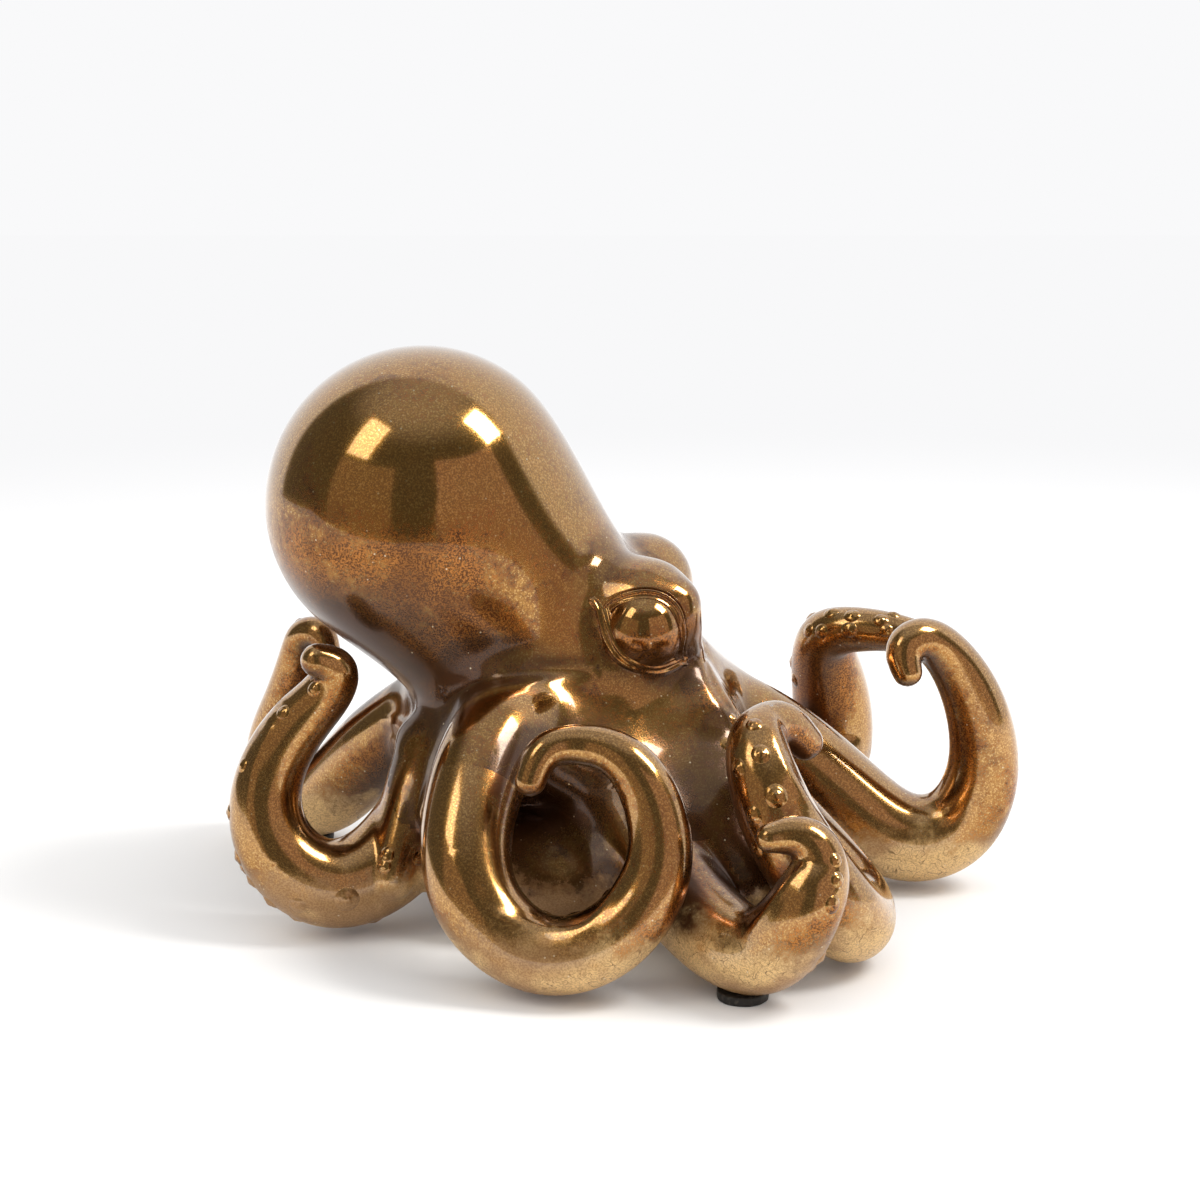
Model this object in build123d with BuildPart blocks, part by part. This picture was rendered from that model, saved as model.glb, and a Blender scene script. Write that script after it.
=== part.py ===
"""Octopus figurine: hollow-cast stoneware under a bronze lustre glaze, in millimetres.

+Z is up and Z = 0 is the surface that it stands on. The octopus looks along +X, its right
side is at -Y and its left side at +Y, and the origin is below the middle of its outline.
The right arms are counted from the front, right_1 to right_4, and so are the left arms.
"""
import os
from dataclasses import dataclass
from math import cos, radians, sin

from build123d import *

os.makedirs("parts", exist_ok=True)

# Castings
clay_wall = 5.0
arm_wall = 4.5
least_bore_radius = 3.5     # an arm is solid clay where its bore would be thinner
slip_joint = 0.3            # slip between an eyeball and its socket
vent_radius = 3.0           # lets air out of the body in the kiln
overrun = 2.0               # how far a cutter passes a face

# Place of the body on the ground plan
hub_x = -14.8
hub_y = -1.6

# Body: belly, collar, head, neck and mantle, from below, each half as long and as wide as it says
belly_height = 44.0
belly_half_length = 44.0
belly_half_width = 35.0
collar_half_length = 55.0
collar_half_width = 43.0
head_half_length = 51.0
head_half_width = 40.0
neck_half_length = 44.5
neck_half_width = 40.0
mantle_half_length = 52.0
mantle_half_width = 51.0
mantle_dome = 51.0          # from the mantle's widest ring to its tip
mantle_offset = 51.5        # how far behind the hub that ring's centre lies
mantle_rise = 92.5          # and how far above the belly
mantle_lean = 51.0          # degrees

# Body's rings from the belly to the mantle: shares of the offset, the rise and the lean
body_shares = [
    (0.00, 0.00, 0.00), (0.02, 0.18, 0.10), (0.16, 0.36, 0.35), (0.44, 0.62, 0.75), (1.00, 1.00, 1.00),
]

# Eyes
brow_radius = 17.5
brow_forward = 22.5         # from the hub
brow_height = 104.0
brow_spacing = 42.0         # from one brow's centre to the other's
eye_radius = 13.5
eye_stand_out = 6.5         # eyeball's centre outward of the brow's centre
eye_back = 1.5              # and behind it
eye_drop = 1.5              # and below it
eye_wall = 4.0              # clay behind the socket
upper_lid_thickness = 4.8
lower_lid_thickness = 4.2

# Suckers
sucker_radius = 2.3
sucker_stand_out = 1.3
sucker_root = 2.0           # how deep a sucker starts below the arm's skin
sucker_dimple_share = 0.5   # of the sucker's radius
sucker_taper_share = 0.35   # how much smaller the last sucker is than the first
sucker_spread = 24.0        # degrees from the middle of the arm to each row

# Feet: stick-on rubber bumpers
pad_radius = 8.0
pad_height = 3.0
foot_flat = 0.6             # ground off an arm's underside to seat its bumper

# Arms: how far each reaches from the hub, how high it rises above its lowest place, and its root
right_1_reach = 110.0
right_1_rise = 58.0
right_1_root = 17.0
right_2_reach = 125.0
right_2_rise = 40.0
right_2_root = 17.0
right_3_reach = 105.0
right_3_rise = 64.0
right_3_root = 17.0
right_4_reach = 110.0
right_4_rise = 77.0
right_4_root = 17.0
left_1_reach = 140.0
left_1_rise = 75.0
left_1_root = 16.0
left_2_reach = 140.0
left_2_rise = 60.0
left_2_root = 16.0
left_3_reach = 115.0
left_3_rise = 46.0
left_3_root = 16.0
left_4_reach = 125.0
left_4_rise = 67.0
left_4_root = 16.0

# Stations along each arm: out along its bearing and to the left of it as shares of its reach,
# up as a share of its rise, and its radius as a share of its root's
right_1_shares = [
    (0.38, 0.065, 0.73, 1.00), (0.63, 0.065, 0.42, 0.93), (0.83, 0.07, 0.165, 0.87),
    (0.975, 0.035, 0.00, 0.835), (1.045, -0.085, 0.025, 0.805), (1.015, -0.185, 0.25, 0.775),
    (0.93, -0.22, 0.51, 0.735), (0.865, -0.225, 0.73, 0.675), (0.805, -0.19, 0.92, 0.58),
    (0.775, -0.12, 1.00, 0.465), (0.79, -0.04, 1.00, 0.41), (0.82, 0.03, 0.88, 0.34),
]
right_2_shares = [
    (0.165, -0.065, 1.12, 1.00), (0.365, -0.07, 0.76, 0.91), (0.575, -0.065, 0.29, 0.86),
    (0.82, -0.05, 0.00, 0.81), (0.965, -0.005, 0.05, 0.765), (1.05, 0.03, 0.42, 0.665),
    (1.05, 0.07, 0.68, 0.53), (1.035, 0.065, 0.865, 0.425), (1.01, 0.025, 0.95, 0.355),
    (0.995, -0.035, 0.95, 0.26),
]
right_3_shares = [
    (0.175, -0.05, 0.80, 1.00), (0.435, -0.165, 0.86, 0.97), (0.66, -0.24, 0.655, 0.88),
    (0.845, -0.235, 0.31, 0.81), (0.92, -0.11, 0.055, 0.755), (0.96, 0.055, 0.00, 0.705),
    (0.955, 0.215, 0.125, 0.665), (0.90, 0.32, 0.39, 0.605), (0.845, 0.305, 0.70, 0.53),
    (0.815, 0.215, 0.905, 0.435), (0.795, 0.10, 0.96, 0.37), (0.825, -0.005, 0.94, 0.33),
    (0.865, -0.05, 0.81, 0.28),
]
right_4_shares = [
    (0.295, 0.005, 0.635, 1.00), (0.465, 0.015, 0.30, 0.94), (0.65, 0.04, 0.05, 0.895),
    (0.835, 0.03, 0.00, 0.845), (0.96, -0.025, 0.155, 0.765), (0.975, -0.065, 0.40, 0.67),
    (0.90, -0.05, 0.635, 0.59), (0.815, -0.01, 0.79, 0.505), (0.785, 0.025, 0.91, 0.425),
    (0.84, 0.03, 0.97, 0.32),
]
left_1_shares = [
    (0.13, 0.07, 0.72, 1.20), (0.365, 0.11, 0.54, 1.03), (0.535, 0.10, 0.36, 0.98),
    (0.68, 0.07, 0.135, 0.985), (0.805, 0.045, 0.00, 0.96), (0.93, 0.03, 0.065, 0.875),
    (0.99, 0.015, 0.335, 0.76), (0.965, 0.00, 0.64, 0.65), (0.90, -0.02, 0.865, 0.53),
    (0.83, -0.055, 0.975, 0.45), (0.78, -0.085, 0.945, 0.39), (0.785, -0.105, 0.85, 0.31),
]
left_2_shares = [
    (0.18, -0.02, 0.90, 1.20), (0.43, -0.025, 0.64, 1.05), (0.66, -0.015, 0.19, 1.00),
    (0.865, -0.015, 0.00, 0.985), (0.975, 0.005, 0.14, 0.96), (0.965, 0.005, 0.46, 0.90),
    (0.905, -0.02, 0.74, 0.74), (0.87, -0.08, 0.915, 0.58), (0.905, -0.195, 0.96, 0.48),
    (0.95, -0.285, 0.94, 0.39),
]
left_3_shares = [
    (0.27, 0.045, 0.92, 1.00), (0.515, 0.04, 0.36, 0.97), (0.725, 0.045, 0.055, 0.94),
    (0.89, 0.02, 0.00, 0.875), (0.97, -0.075, 0.165, 0.78), (0.96, -0.16, 0.49, 0.69),
    (0.89, -0.16, 0.79, 0.56), (0.84, -0.075, 0.99, 0.44), (0.85, 0.01, 0.965, 0.345),
    (0.87, 0.035, 0.815, 0.28),
]
left_4_shares = [
    (0.385, 0.055, 0.67, 1.00), (0.645, 0.02, 0.345, 0.94), (0.835, -0.005, 0.03, 0.885),
    (0.965, -0.005, 0.00, 0.785), (1.01, 0.02, 0.225, 0.66), (0.945, 0.045, 0.535, 0.535),
    (0.885, 0.065, 0.805, 0.425), (0.845, 0.08, 0.935, 0.375), (0.785, 0.09, 0.955, 0.33),
    (0.755, 0.095, 0.865, 0.275),
]

rings_per_span = 3
tip_angles = (30, 55, 76)                     # degrees round an arm's rounded tip
dome_angles = (18, 34, 48, 60, 71, 80, 87)    # degrees round the mantle's dome


def smooth(a, b, c, d, t):
    """Value at share t of the way from b to c on the Catmull-Rom curve through four values."""
    return (b * 2 + (c - a) * t + (a * 2 - b * 5 + c * 4 - d) * t**2 + (b * 3 - a - c * 3 + d) * t**3) * 0.5


def smooth_slope(a, b, c, d, t):
    """Direction of the same curve."""
    return (c - a) + (a * 2 - b * 5 + c * 4 - d) * (2 * t) + (b * 3 - a - c * 3 + d) * (3 * t**2)


@dataclass
class Ring:
    """One cross-section: where it is, which way it faces and how wide it is."""

    centre: Vector
    along: Vector
    radius: float
    station: float


@dataclass
class Arm:
    """One arm of the octopus, from inside the body to its tip."""

    name: str
    bearing: float
    reach: float
    rise: float
    root: float
    shares: list
    joint_station: int
    padded: bool
    first_sucker: float
    last_sucker: float
    suckers: int
    facing: Vector

    def stations(self):
        """Centre and radius at each station, before the arm is set down on the ground."""
        heading = Vector(cos(radians(self.bearing)), sin(radians(self.bearing)), 0)
        left = Vector(-heading.Y, heading.X, 0)
        rows = []
        for out, across, up, girth in self.shares:
            place = Vector(hub_x, hub_y, 0) + heading * (out * self.reach) + left * (across * self.reach)
            rows.append((place + Vector(0, 0, up * self.rise), girth * self.root))
        return rows

    def rings(self):
        """Rings from the root to the rounded tip, with the lowest one set down at foot height."""
        rows = self.stations()
        first, last = rows[0], rows[-1]
        rows = [(first[0] * 2 - rows[1][0], first[1])] + rows + [(last[0] * 2 - rows[-2][0], last[1])]
        rings = []
        for span in range(len(rows) - 3):
            for step in range(rings_per_span):
                rings.append(ring_between(rows[span:span + 4], step / rings_per_span, span))
        tip = ring_between(rows[-4:], 1.0, len(rows) - 4)
        rings.append(tip)
        for angle in tip_angles:
            centre = tip.centre + tip.along * (tip.radius * sin(radians(angle)))
            rings.append(Ring(centre, tip.along, tip.radius * cos(radians(angle)), tip.station))
        lift = pad_height - foot_flat - min(ring.centre.Z - ring.radius for ring in rings)
        for ring in rings:
            ring.centre = ring.centre + Vector(0, 0, lift)
        return rings

    def joint(self):
        """Number of the ring at which the arm is luted to the body."""
        return self.joint_station * rings_per_span


def ring_between(rows, t, span):
    """Ring at share t of the way from the second to the third of four stations, on a smooth curve."""
    centres, radii = zip(*rows)
    return Ring(smooth(*centres, t), smooth_slope(*centres, t).normalized(), smooth(*radii, t), span + t)


def ring_planes(rings):
    """A plane for each ring, turned as little as possible from one to the next."""
    side = Vector(0, 0, 1)
    planes = []
    for ring in rings:
        side = (side - ring.along * side.dot(ring.along)).normalized()
        planes.append(Plane(origin=ring.centre, x_dir=side, z_dir=ring.along))
    return planes


def circles(rings, wall=0.0):
    """Circles on the rings' planes, a wall smaller than the rings."""
    sections = []
    for ring, plane in zip(rings, ring_planes(rings)):
        with BuildSketch(plane) as section:
            Circle(ring.radius - wall)
        sections.append(section.sketch)
    return sections


def bore_rings(rings):
    """The rings wide enough for a bore, up to the first that isn't."""
    wide = []
    for ring in rings:
        if ring.radius - arm_wall < least_bore_radius:
            break
        wide.append(ring)
    return wide


def body_rings(wall):
    """Plane, half length and half width of the body's rings from the belly to the mantle's tip."""
    half_sizes = (
        (belly_half_length, belly_half_width),
        (collar_half_length, collar_half_width),
        (head_half_length, head_half_width),
        (neck_half_length, neck_half_width),
        (mantle_half_length, mantle_half_width),
    )
    rows = [(*shares, *sizes) for shares, sizes in zip(body_shares, half_sizes)]
    rows = [rows[0]] + rows + [rows[-1]]
    rings = []
    for span in range(len(rows) - 3):
        for step in range(rings_per_span + 1 if span == len(rows) - 4 else rings_per_span):
            t = step / rings_per_span
            rings.append([smooth(*values, t) for values in zip(*rows[span:span + 4])])
    planes = []
    for back, up, lean, half_length, half_width in rings:
        tilt = radians(lean * mantle_lean)
        height = belly_height + up * mantle_rise
        if up == 0:
            height += wall
        plane = Plane(
            origin=(hub_x - back * mantle_offset, hub_y, height),
            x_dir=(cos(tilt), 0, sin(tilt)),
            z_dir=(-sin(tilt), 0, cos(tilt)),
        )
        planes.append((plane, half_length - wall, half_width - wall))
    widest = planes[-1][0]
    for angle in dome_angles:
        share = cos(radians(angle))
        plane = widest.offset((mantle_dome - wall) * sin(radians(angle)))
        planes.append((plane, (mantle_half_length - wall) * share, (mantle_half_width - wall) * share))
    return planes


def ellipses(wall=0.0):
    """Ellipses for the body's skin, or for its cavity when a wall is given."""
    sections = []
    for plane, half_length, half_width in body_rings(wall):
        with BuildSketch(plane) as section:
            Ellipse(half_length, half_width)
        sections.append(section.sketch)
    return sections


arms = [
    Arm("right_1", -38, right_1_reach, right_1_rise, right_1_root, right_1_shares,
        2, False, 4.6, 9.0, 11, Vector(-0.5, -1, 0.2)),
    Arm("right_2", -60, right_2_reach, right_2_rise, right_2_root, right_2_shares,
        2, True, 4.2, 6.8, 7, Vector(1, 0.1, 0)),
    Arm("right_3", -95, right_3_reach, right_3_rise, right_3_root, right_3_shares,
        2, False, 3.0, 9.6, 15, Vector(-0.5, 1, 0.5)),
    Arm("right_4", -155, right_4_reach, right_4_rise, right_4_root, right_4_shares,
        1, False, 2.4, 7.6, 14, Vector(-0.6, -0.4, -0.4)),
    Arm("left_1", 0, left_1_reach, left_1_rise, left_1_root, left_1_shares,
        2, False, 4.4, 9.4, 13, Vector(0.4, 1, 0)),
    Arm("left_2", 45, left_2_reach, left_2_rise, left_2_root, left_2_shares,
        2, True, 5.4, 8.6, 11, Vector(-0.4, -0.4, 1)),
    Arm("left_3", 97, left_3_reach, left_3_rise, left_3_root, left_3_shares,
        1, True, 3.6, 7.4, 10, Vector(0, 1, 0.2)),
    Arm("left_4", 150, left_4_reach, left_4_rise, left_4_root, left_4_shares,
        1, True, 3.2, 7.4, 11, Vector(-0.5, 1, 0)),
]


def brow_centre(side):
    """Centre of the round brow that carries an eye: side is -1 for the right eye and 1 for the left."""
    return Vector(hub_x + brow_forward, hub_y + side * brow_spacing / 2, brow_height)


def eye_offset(side):
    """From the brow's centre to the eyeball's, which is also the way that the eye looks."""
    return Vector(-eye_back, side * eye_stand_out, -eye_drop)


def eye_centre(side):
    """Centre of one eyeball."""
    return brow_centre(side) + eye_offset(side)


# Hollow inside the body and its arm roots, with the clay behind each eye socket left standing
with BuildPart() as cavity:
    loft(ellipses(clay_wall), ruled=True)
    for arm in arms:
        loft(circles(arm.rings()[:arm.joint() + 1], arm_wall), ruled=True)
    for side in (-1, 1):
        with Locations(eye_centre(side)):
            Sphere(eye_radius + eye_wall, mode=Mode.SUBTRACT)

# Body: mantle, head, belly and eight arm roots, cast hollow in one piece
with BuildPart() as body:
    loft(ellipses(), ruled=True)
    for side in (-1, 1):
        with Locations(brow_centre(side)):
            Sphere(brow_radius)
    for arm in arms:
        loft(circles(arm.rings()[:arm.joint() + 1]), ruled=True)
    add(cavity.part, mode=Mode.SUBTRACT)
    for side in (-1, 1):
        with Locations(eye_centre(side)):
            Sphere(eye_radius + slip_joint, mode=Mode.SUBTRACT)
    with Locations((hub_x, hub_y, belly_height + clay_wall / 2)):
        Cylinder(vent_radius, clay_wall + 2 * overrun, mode=Mode.SUBTRACT)
body.part.label = "body"
export_step(body.part, "parts/body.step")

# Eyeballs, pressed into their sockets, and the rolls of clay laid round them as lids
for side, side_name in ((-1, "right"), (1, "left")):
    with BuildPart() as eyeball:
        with Locations(eye_centre(side)):
            Sphere(eye_radius)
    eyeball.part.label = f"{side_name}_eyeball"
    export_step(eyeball.part, f"parts/{side_name}_eyeball.step")

    # The lids follow the circle in which the eyeball leaves the brow
    reach = eye_offset(side).length
    rim = (brow_radius**2 - eye_radius**2 + reach**2) / (2 * reach)
    look = eye_offset(side).normalized()
    lid_line = (brow_radius**2 - rim**2) ** 0.5
    lid_plane = Plane(origin=brow_centre(side) + look * rim, x_dir=Vector(0, 0, 1).cross(look), z_dir=look)
    for lid_name, thickness, end in (("upper", upper_lid_thickness, 1), ("lower", lower_lid_thickness, -1)):
        with BuildPart() as lid:
            corner = lid_plane.origin + lid_plane.x_dir * (end * lid_line)
            with BuildSketch(Plane(origin=corner, x_dir=lid_plane.x_dir, z_dir=lid_plane.y_dir)):
                Circle(thickness / 2)
            revolve(axis=Axis(lid_plane.origin, lid_plane.z_dir), revolution_arc=180)
            add(body.part, mode=Mode.SUBTRACT)
            with Locations(eye_centre(side)):
                Sphere(eye_radius + slip_joint, mode=Mode.SUBTRACT)
        lid.part.label = f"{side_name}_{lid_name}_eyelid"
        export_step(lid.part, f"parts/{side_name}_{lid_name}_eyelid.step")

# Arms, luted on at their joints, each with its suckers and, on four of them, a bumper below
for arm in arms:
    rings = arm.rings()
    free_rings = rings[arm.joint():]
    with BuildPart() as arm_part:
        loft(circles(free_rings), ruled=True)
        loft(circles(bore_rings(free_rings), arm_wall), ruled=True, mode=Mode.SUBTRACT)
        if arm.padded:
            lowest = min(free_rings, key=lambda ring: ring.centre.Z - ring.radius)
            with Locations((lowest.centre.X, lowest.centre.Y, pad_height - overrun / 2)):
                Box(4 * pad_radius, 4 * pad_radius, overrun, mode=Mode.SUBTRACT)
    arm_part.part.label = f"arm_{arm.name}"
    export_step(arm_part.part, f"parts/arm_{arm.name}.step")

    with BuildPart() as suckers:
        for number in range(arm.suckers):
            share = number / (arm.suckers - 1)
            station = arm.first_sucker + (arm.last_sucker - arm.first_sucker) * share
            ring = min(free_rings, key=lambda ring: abs(ring.station - station))
            facing = (arm.facing - ring.along * arm.facing.dot(ring.along)).normalized()
            turn = sucker_spread if number % 2 else -sucker_spread
            facing = facing.rotate(Axis((0, 0, 0), ring.along), turn)
            size = sucker_radius * (1 - sucker_taper_share * share)
            base = Plane(origin=ring.centre + facing * (ring.radius - sucker_root), z_dir=facing)
            with BuildSketch(base):
                Circle(size)
            extrude(amount=sucker_root + sucker_stand_out)
            with BuildSketch(base.offset(sucker_root + sucker_stand_out)):
                Circle(size * sucker_dimple_share)
            extrude(amount=-sucker_stand_out / 2, mode=Mode.SUBTRACT)
        add(arm_part.part, mode=Mode.SUBTRACT)
    suckers.part.label = f"suckers_{arm.name}"
    export_step(suckers.part, f"parts/suckers_{arm.name}.step")

    if arm.padded:
        with BuildPart() as pad:
            with BuildSketch(Plane((lowest.centre.X, lowest.centre.Y, 0))):
                Circle(pad_radius)
            extrude(amount=pad_height)
        pad.part.label = f"pad_{arm.name}"
        export_step(pad.part, f"parts/pad_{arm.name}.step")
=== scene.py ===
"""Looks of the octopus figurine: hollow-cast stoneware under a bronze lustre glaze.

The clay is modelled as one smooth form, as the maker models it before the mould is made, and is
then parted into the same pieces as the frame: body, eight arms, suckers, eyeballs, eyelids and
the rubber bumpers under the feet. Lengths in this file are millimetres unless a name says else.
"""

import logging
import math
from collections.abc import Callable
from dataclasses import dataclass, field
from enum import Enum
from functools import partial

import bmesh
import bpy
import numpy as np
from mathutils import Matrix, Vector


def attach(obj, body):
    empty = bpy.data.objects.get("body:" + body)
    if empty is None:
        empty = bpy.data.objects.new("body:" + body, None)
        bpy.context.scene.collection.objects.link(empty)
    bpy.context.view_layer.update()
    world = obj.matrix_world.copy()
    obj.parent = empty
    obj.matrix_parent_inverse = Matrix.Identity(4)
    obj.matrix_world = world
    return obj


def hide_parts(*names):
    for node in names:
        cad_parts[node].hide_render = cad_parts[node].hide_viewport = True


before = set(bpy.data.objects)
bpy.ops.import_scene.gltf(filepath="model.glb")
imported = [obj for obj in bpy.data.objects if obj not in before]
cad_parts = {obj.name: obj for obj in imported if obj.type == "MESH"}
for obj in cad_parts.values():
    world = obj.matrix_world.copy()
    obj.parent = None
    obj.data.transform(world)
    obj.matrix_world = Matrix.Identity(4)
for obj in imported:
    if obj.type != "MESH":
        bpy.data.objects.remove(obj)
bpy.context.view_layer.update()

LOG = logging.getLogger("octopus")
METRE = 0.001               # one millimetre in Blender's metres
PHOTO_SIDE = 1200           # the photograph's frame, in pixels
HANDFUL = 60000             # points that are measured in one go, so that they fit in memory
FILLET_REACH = 16.0         # a form changes the clay no further out than this

HUB = np.array((-14.8, -1.6, 0.0))      # the middle of the body on the ground plan
CELL = 1.5       # spacing of the grid that the skin is drawn through


class Side(Enum):
    """The octopus's own right and left, as signs of Y."""

    RIGHT = -1
    LEFT = 1


class Slot(Enum):
    """Material slots of the record."""

    BODY = "body_glaze"
    ARM = "arm_glaze"
    SUCKER = "sucker_glaze"
    EYE = "eye_glaze"
    BUMPER = "bumper_rubber"


class Course:
    """A smooth curve through rows of numbers, one row a step."""

    def __init__(self, rows: list, start: tuple | None = None, end: tuple | None = None) -> None:
        """Solves the curve.

        Args:
            rows: the rows that the curve goes through.
            start: its slope at the first row, or None where it may run straight on.
            end: its slope at the last row, or None.
        """
        self.rows = np.asarray(rows, float)
        count = len(self.rows)
        system = np.zeros((count, count))
        wanted = np.zeros_like(self.rows)
        for row in range(1, count - 1):
            system[row, row - 1:row + 2] = (1, 4, 1)
            wanted[row] = 6 * (self.rows[row + 1] - 2 * self.rows[row] + self.rows[row - 1])
        system[0, 0] = system[-1, -1] = 1
        if start is not None:
            system[0, :2] = (2, 1)
            wanted[0] = 6 * (self.rows[1] - self.rows[0] - np.asarray(start))
        if end is not None:
            system[-1, -2:] = (1, 2)
            wanted[-1] = 6 * (np.asarray(end) - self.rows[-1] + self.rows[-2])
        self.bend = np.linalg.solve(system, wanted)

    def at(self, steps: np.ndarray, order: int = 0) -> np.ndarray:
        """The curve's value, slope or bend.

        Args:
            steps: where along the curve, from 0 at the first row.
            order: 0 for the value, 1 for the slope and 2 for the bend.
        Returns:
            One row for each step.
        """
        span = np.clip(np.floor(steps).astype(int), 0, len(self.rows) - 2)
        t = (steps - span)[:, None]
        low, high = self.bend[span], self.bend[span + 1]
        if order == 2:
            return low * (1 - t) + high * t
        first, last = self.rows[span] - low / 6, self.rows[span + 1] - high / 6
        if order == 1:
            return last - first + (high * t**2 - low * (1 - t)**2) / 2
        return first * (1 - t) + last * t + (low * (1 - t)**3 + high * t**3) / 6

    def spread(self, count: int) -> np.ndarray:
        """Steps from the first row to the last, evenly spread over the rows."""
        return np.linspace(0, len(self.rows) - 1, count)


def joined(a: np.ndarray, b: np.ndarray, blend: np.ndarray | float) -> np.ndarray:
    """Two clay forms pressed together.

    Args:
        a: distances to the first form.
        b: distances to the second.
        blend: how wide the fillet between them is.
    Returns:
        Distances to both as one form.
    """
    share = np.clip(blend - np.abs(a - b), 0, None) / blend
    return np.minimum(a, b) - share**2 * blend / 4


def lengths(vectors: np.ndarray) -> np.ndarray:
    """Length of each row."""
    return np.sqrt((vectors * vectors).sum(axis=-1))


def unit(vectors: np.ndarray) -> np.ndarray:
    """Each row at length one."""
    return vectors / np.maximum(lengths(vectors)[..., None], 1e-9)


def reading(form: Callable, points: np.ndarray, gap: float = 0.12) -> tuple[np.ndarray, np.ndarray]:
    """Distance to a form and its slope, from four places round each point.

    Args:
        form: gives the distance to the form at some points.
        points: the points.
        gap: how far out the four places are.
    Returns:
        The distance and the slope at each point.
    """
    shifts = np.array(((1, 1, 1), (1, -1, -1), (-1, 1, -1), (-1, -1, 1))) * gap
    values = np.stack([form(points + shift) for shift in shifts], axis=1)
    return values.mean(axis=1), values @ shifts / (4 * gap * gap)


def settled(form: Callable, points: np.ndarray, rounds: int, furthest: float = 2.0) -> np.ndarray:
    """Points moved on to a form's skin along the shortest way.

    Args:
        form: gives the distance to the form at some points.
        points: the points.
        rounds: how many times the move is worked out.
        furthest: the longest move in one round.
    Returns:
        The moved points.
    """
    for _ in range(rounds):
        gap, slope = reading(form, points)
        move = gap[:, None] * slope / np.maximum((slope**2).sum(axis=1), 0.2)[:, None]
        points = points - np.clip(move, -furthest, furthest)
    return points


@dataclass
class Strand:
    """A round form that follows a smooth line: an arm, a roll of clay or a tooled crease."""

    rows: list                     # x, y, z and radius at each station
    finest: int = 8                # samples a station for the first guess at the nearest place

    def __post_init__(self) -> None:
        """Solves the line and its box."""
        self.course = Course(self.rows)
        self.steps = self.course.spread((len(self.rows) - 1) * self.finest + 1)
        self.samples = self.course.at(self.steps)
        reach = self.samples[:, 3].max()
        self.low = self.samples[:, :3].min(axis=0) - reach
        self.high = self.samples[:, :3].max(axis=0) + reach

    def near(self, points: np.ndarray, margin: float) -> np.ndarray:
        """Which points lie in the strand's box widened by a margin."""
        return ((points > self.low - margin) & (points < self.high + margin)).all(axis=1)

    def distance(self, points: np.ndarray) -> tuple[np.ndarray, np.ndarray]:
        """Distance to the strand's skin.

        Args:
            points: places to measure from.
        Returns:
            The distances, and the step along the line that each is nearest to.
        """
        if not len(points):
            return np.zeros(0), np.zeros(0)
        centres, radii = self.samples[:, :3], self.samples[:, 3]
        square = (points**2).sum(axis=1)[:, None] + (centres**2).sum(axis=1) - 2 * points @ centres.T
        gaps = np.sqrt(np.maximum(square, 0)) - radii
        step = self.steps[gaps.argmin(axis=1)]
        for _ in range(2):
            row, slope, bend = (self.course.at(step, order) for order in range(3))
            away = points - row[:, :3]
            length = np.maximum(lengths(away), 1e-6)
            along = (away * slope[:, :3]).sum(axis=1) / length
            first = -along - slope[:, 3]
            second = ((slope[:, :3]**2).sum(axis=1) - (away * bend[:, :3]).sum(axis=1) - along**2) / length
            move = first / np.maximum(second - bend[:, 3], 0.5)
            step = np.clip(step - np.clip(move, -0.3, 0.3), 0, len(self.rows) - 1)
        row = self.course.at(step)
        return lengths(points - row[:, :3]) - row[:, 3], step


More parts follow.
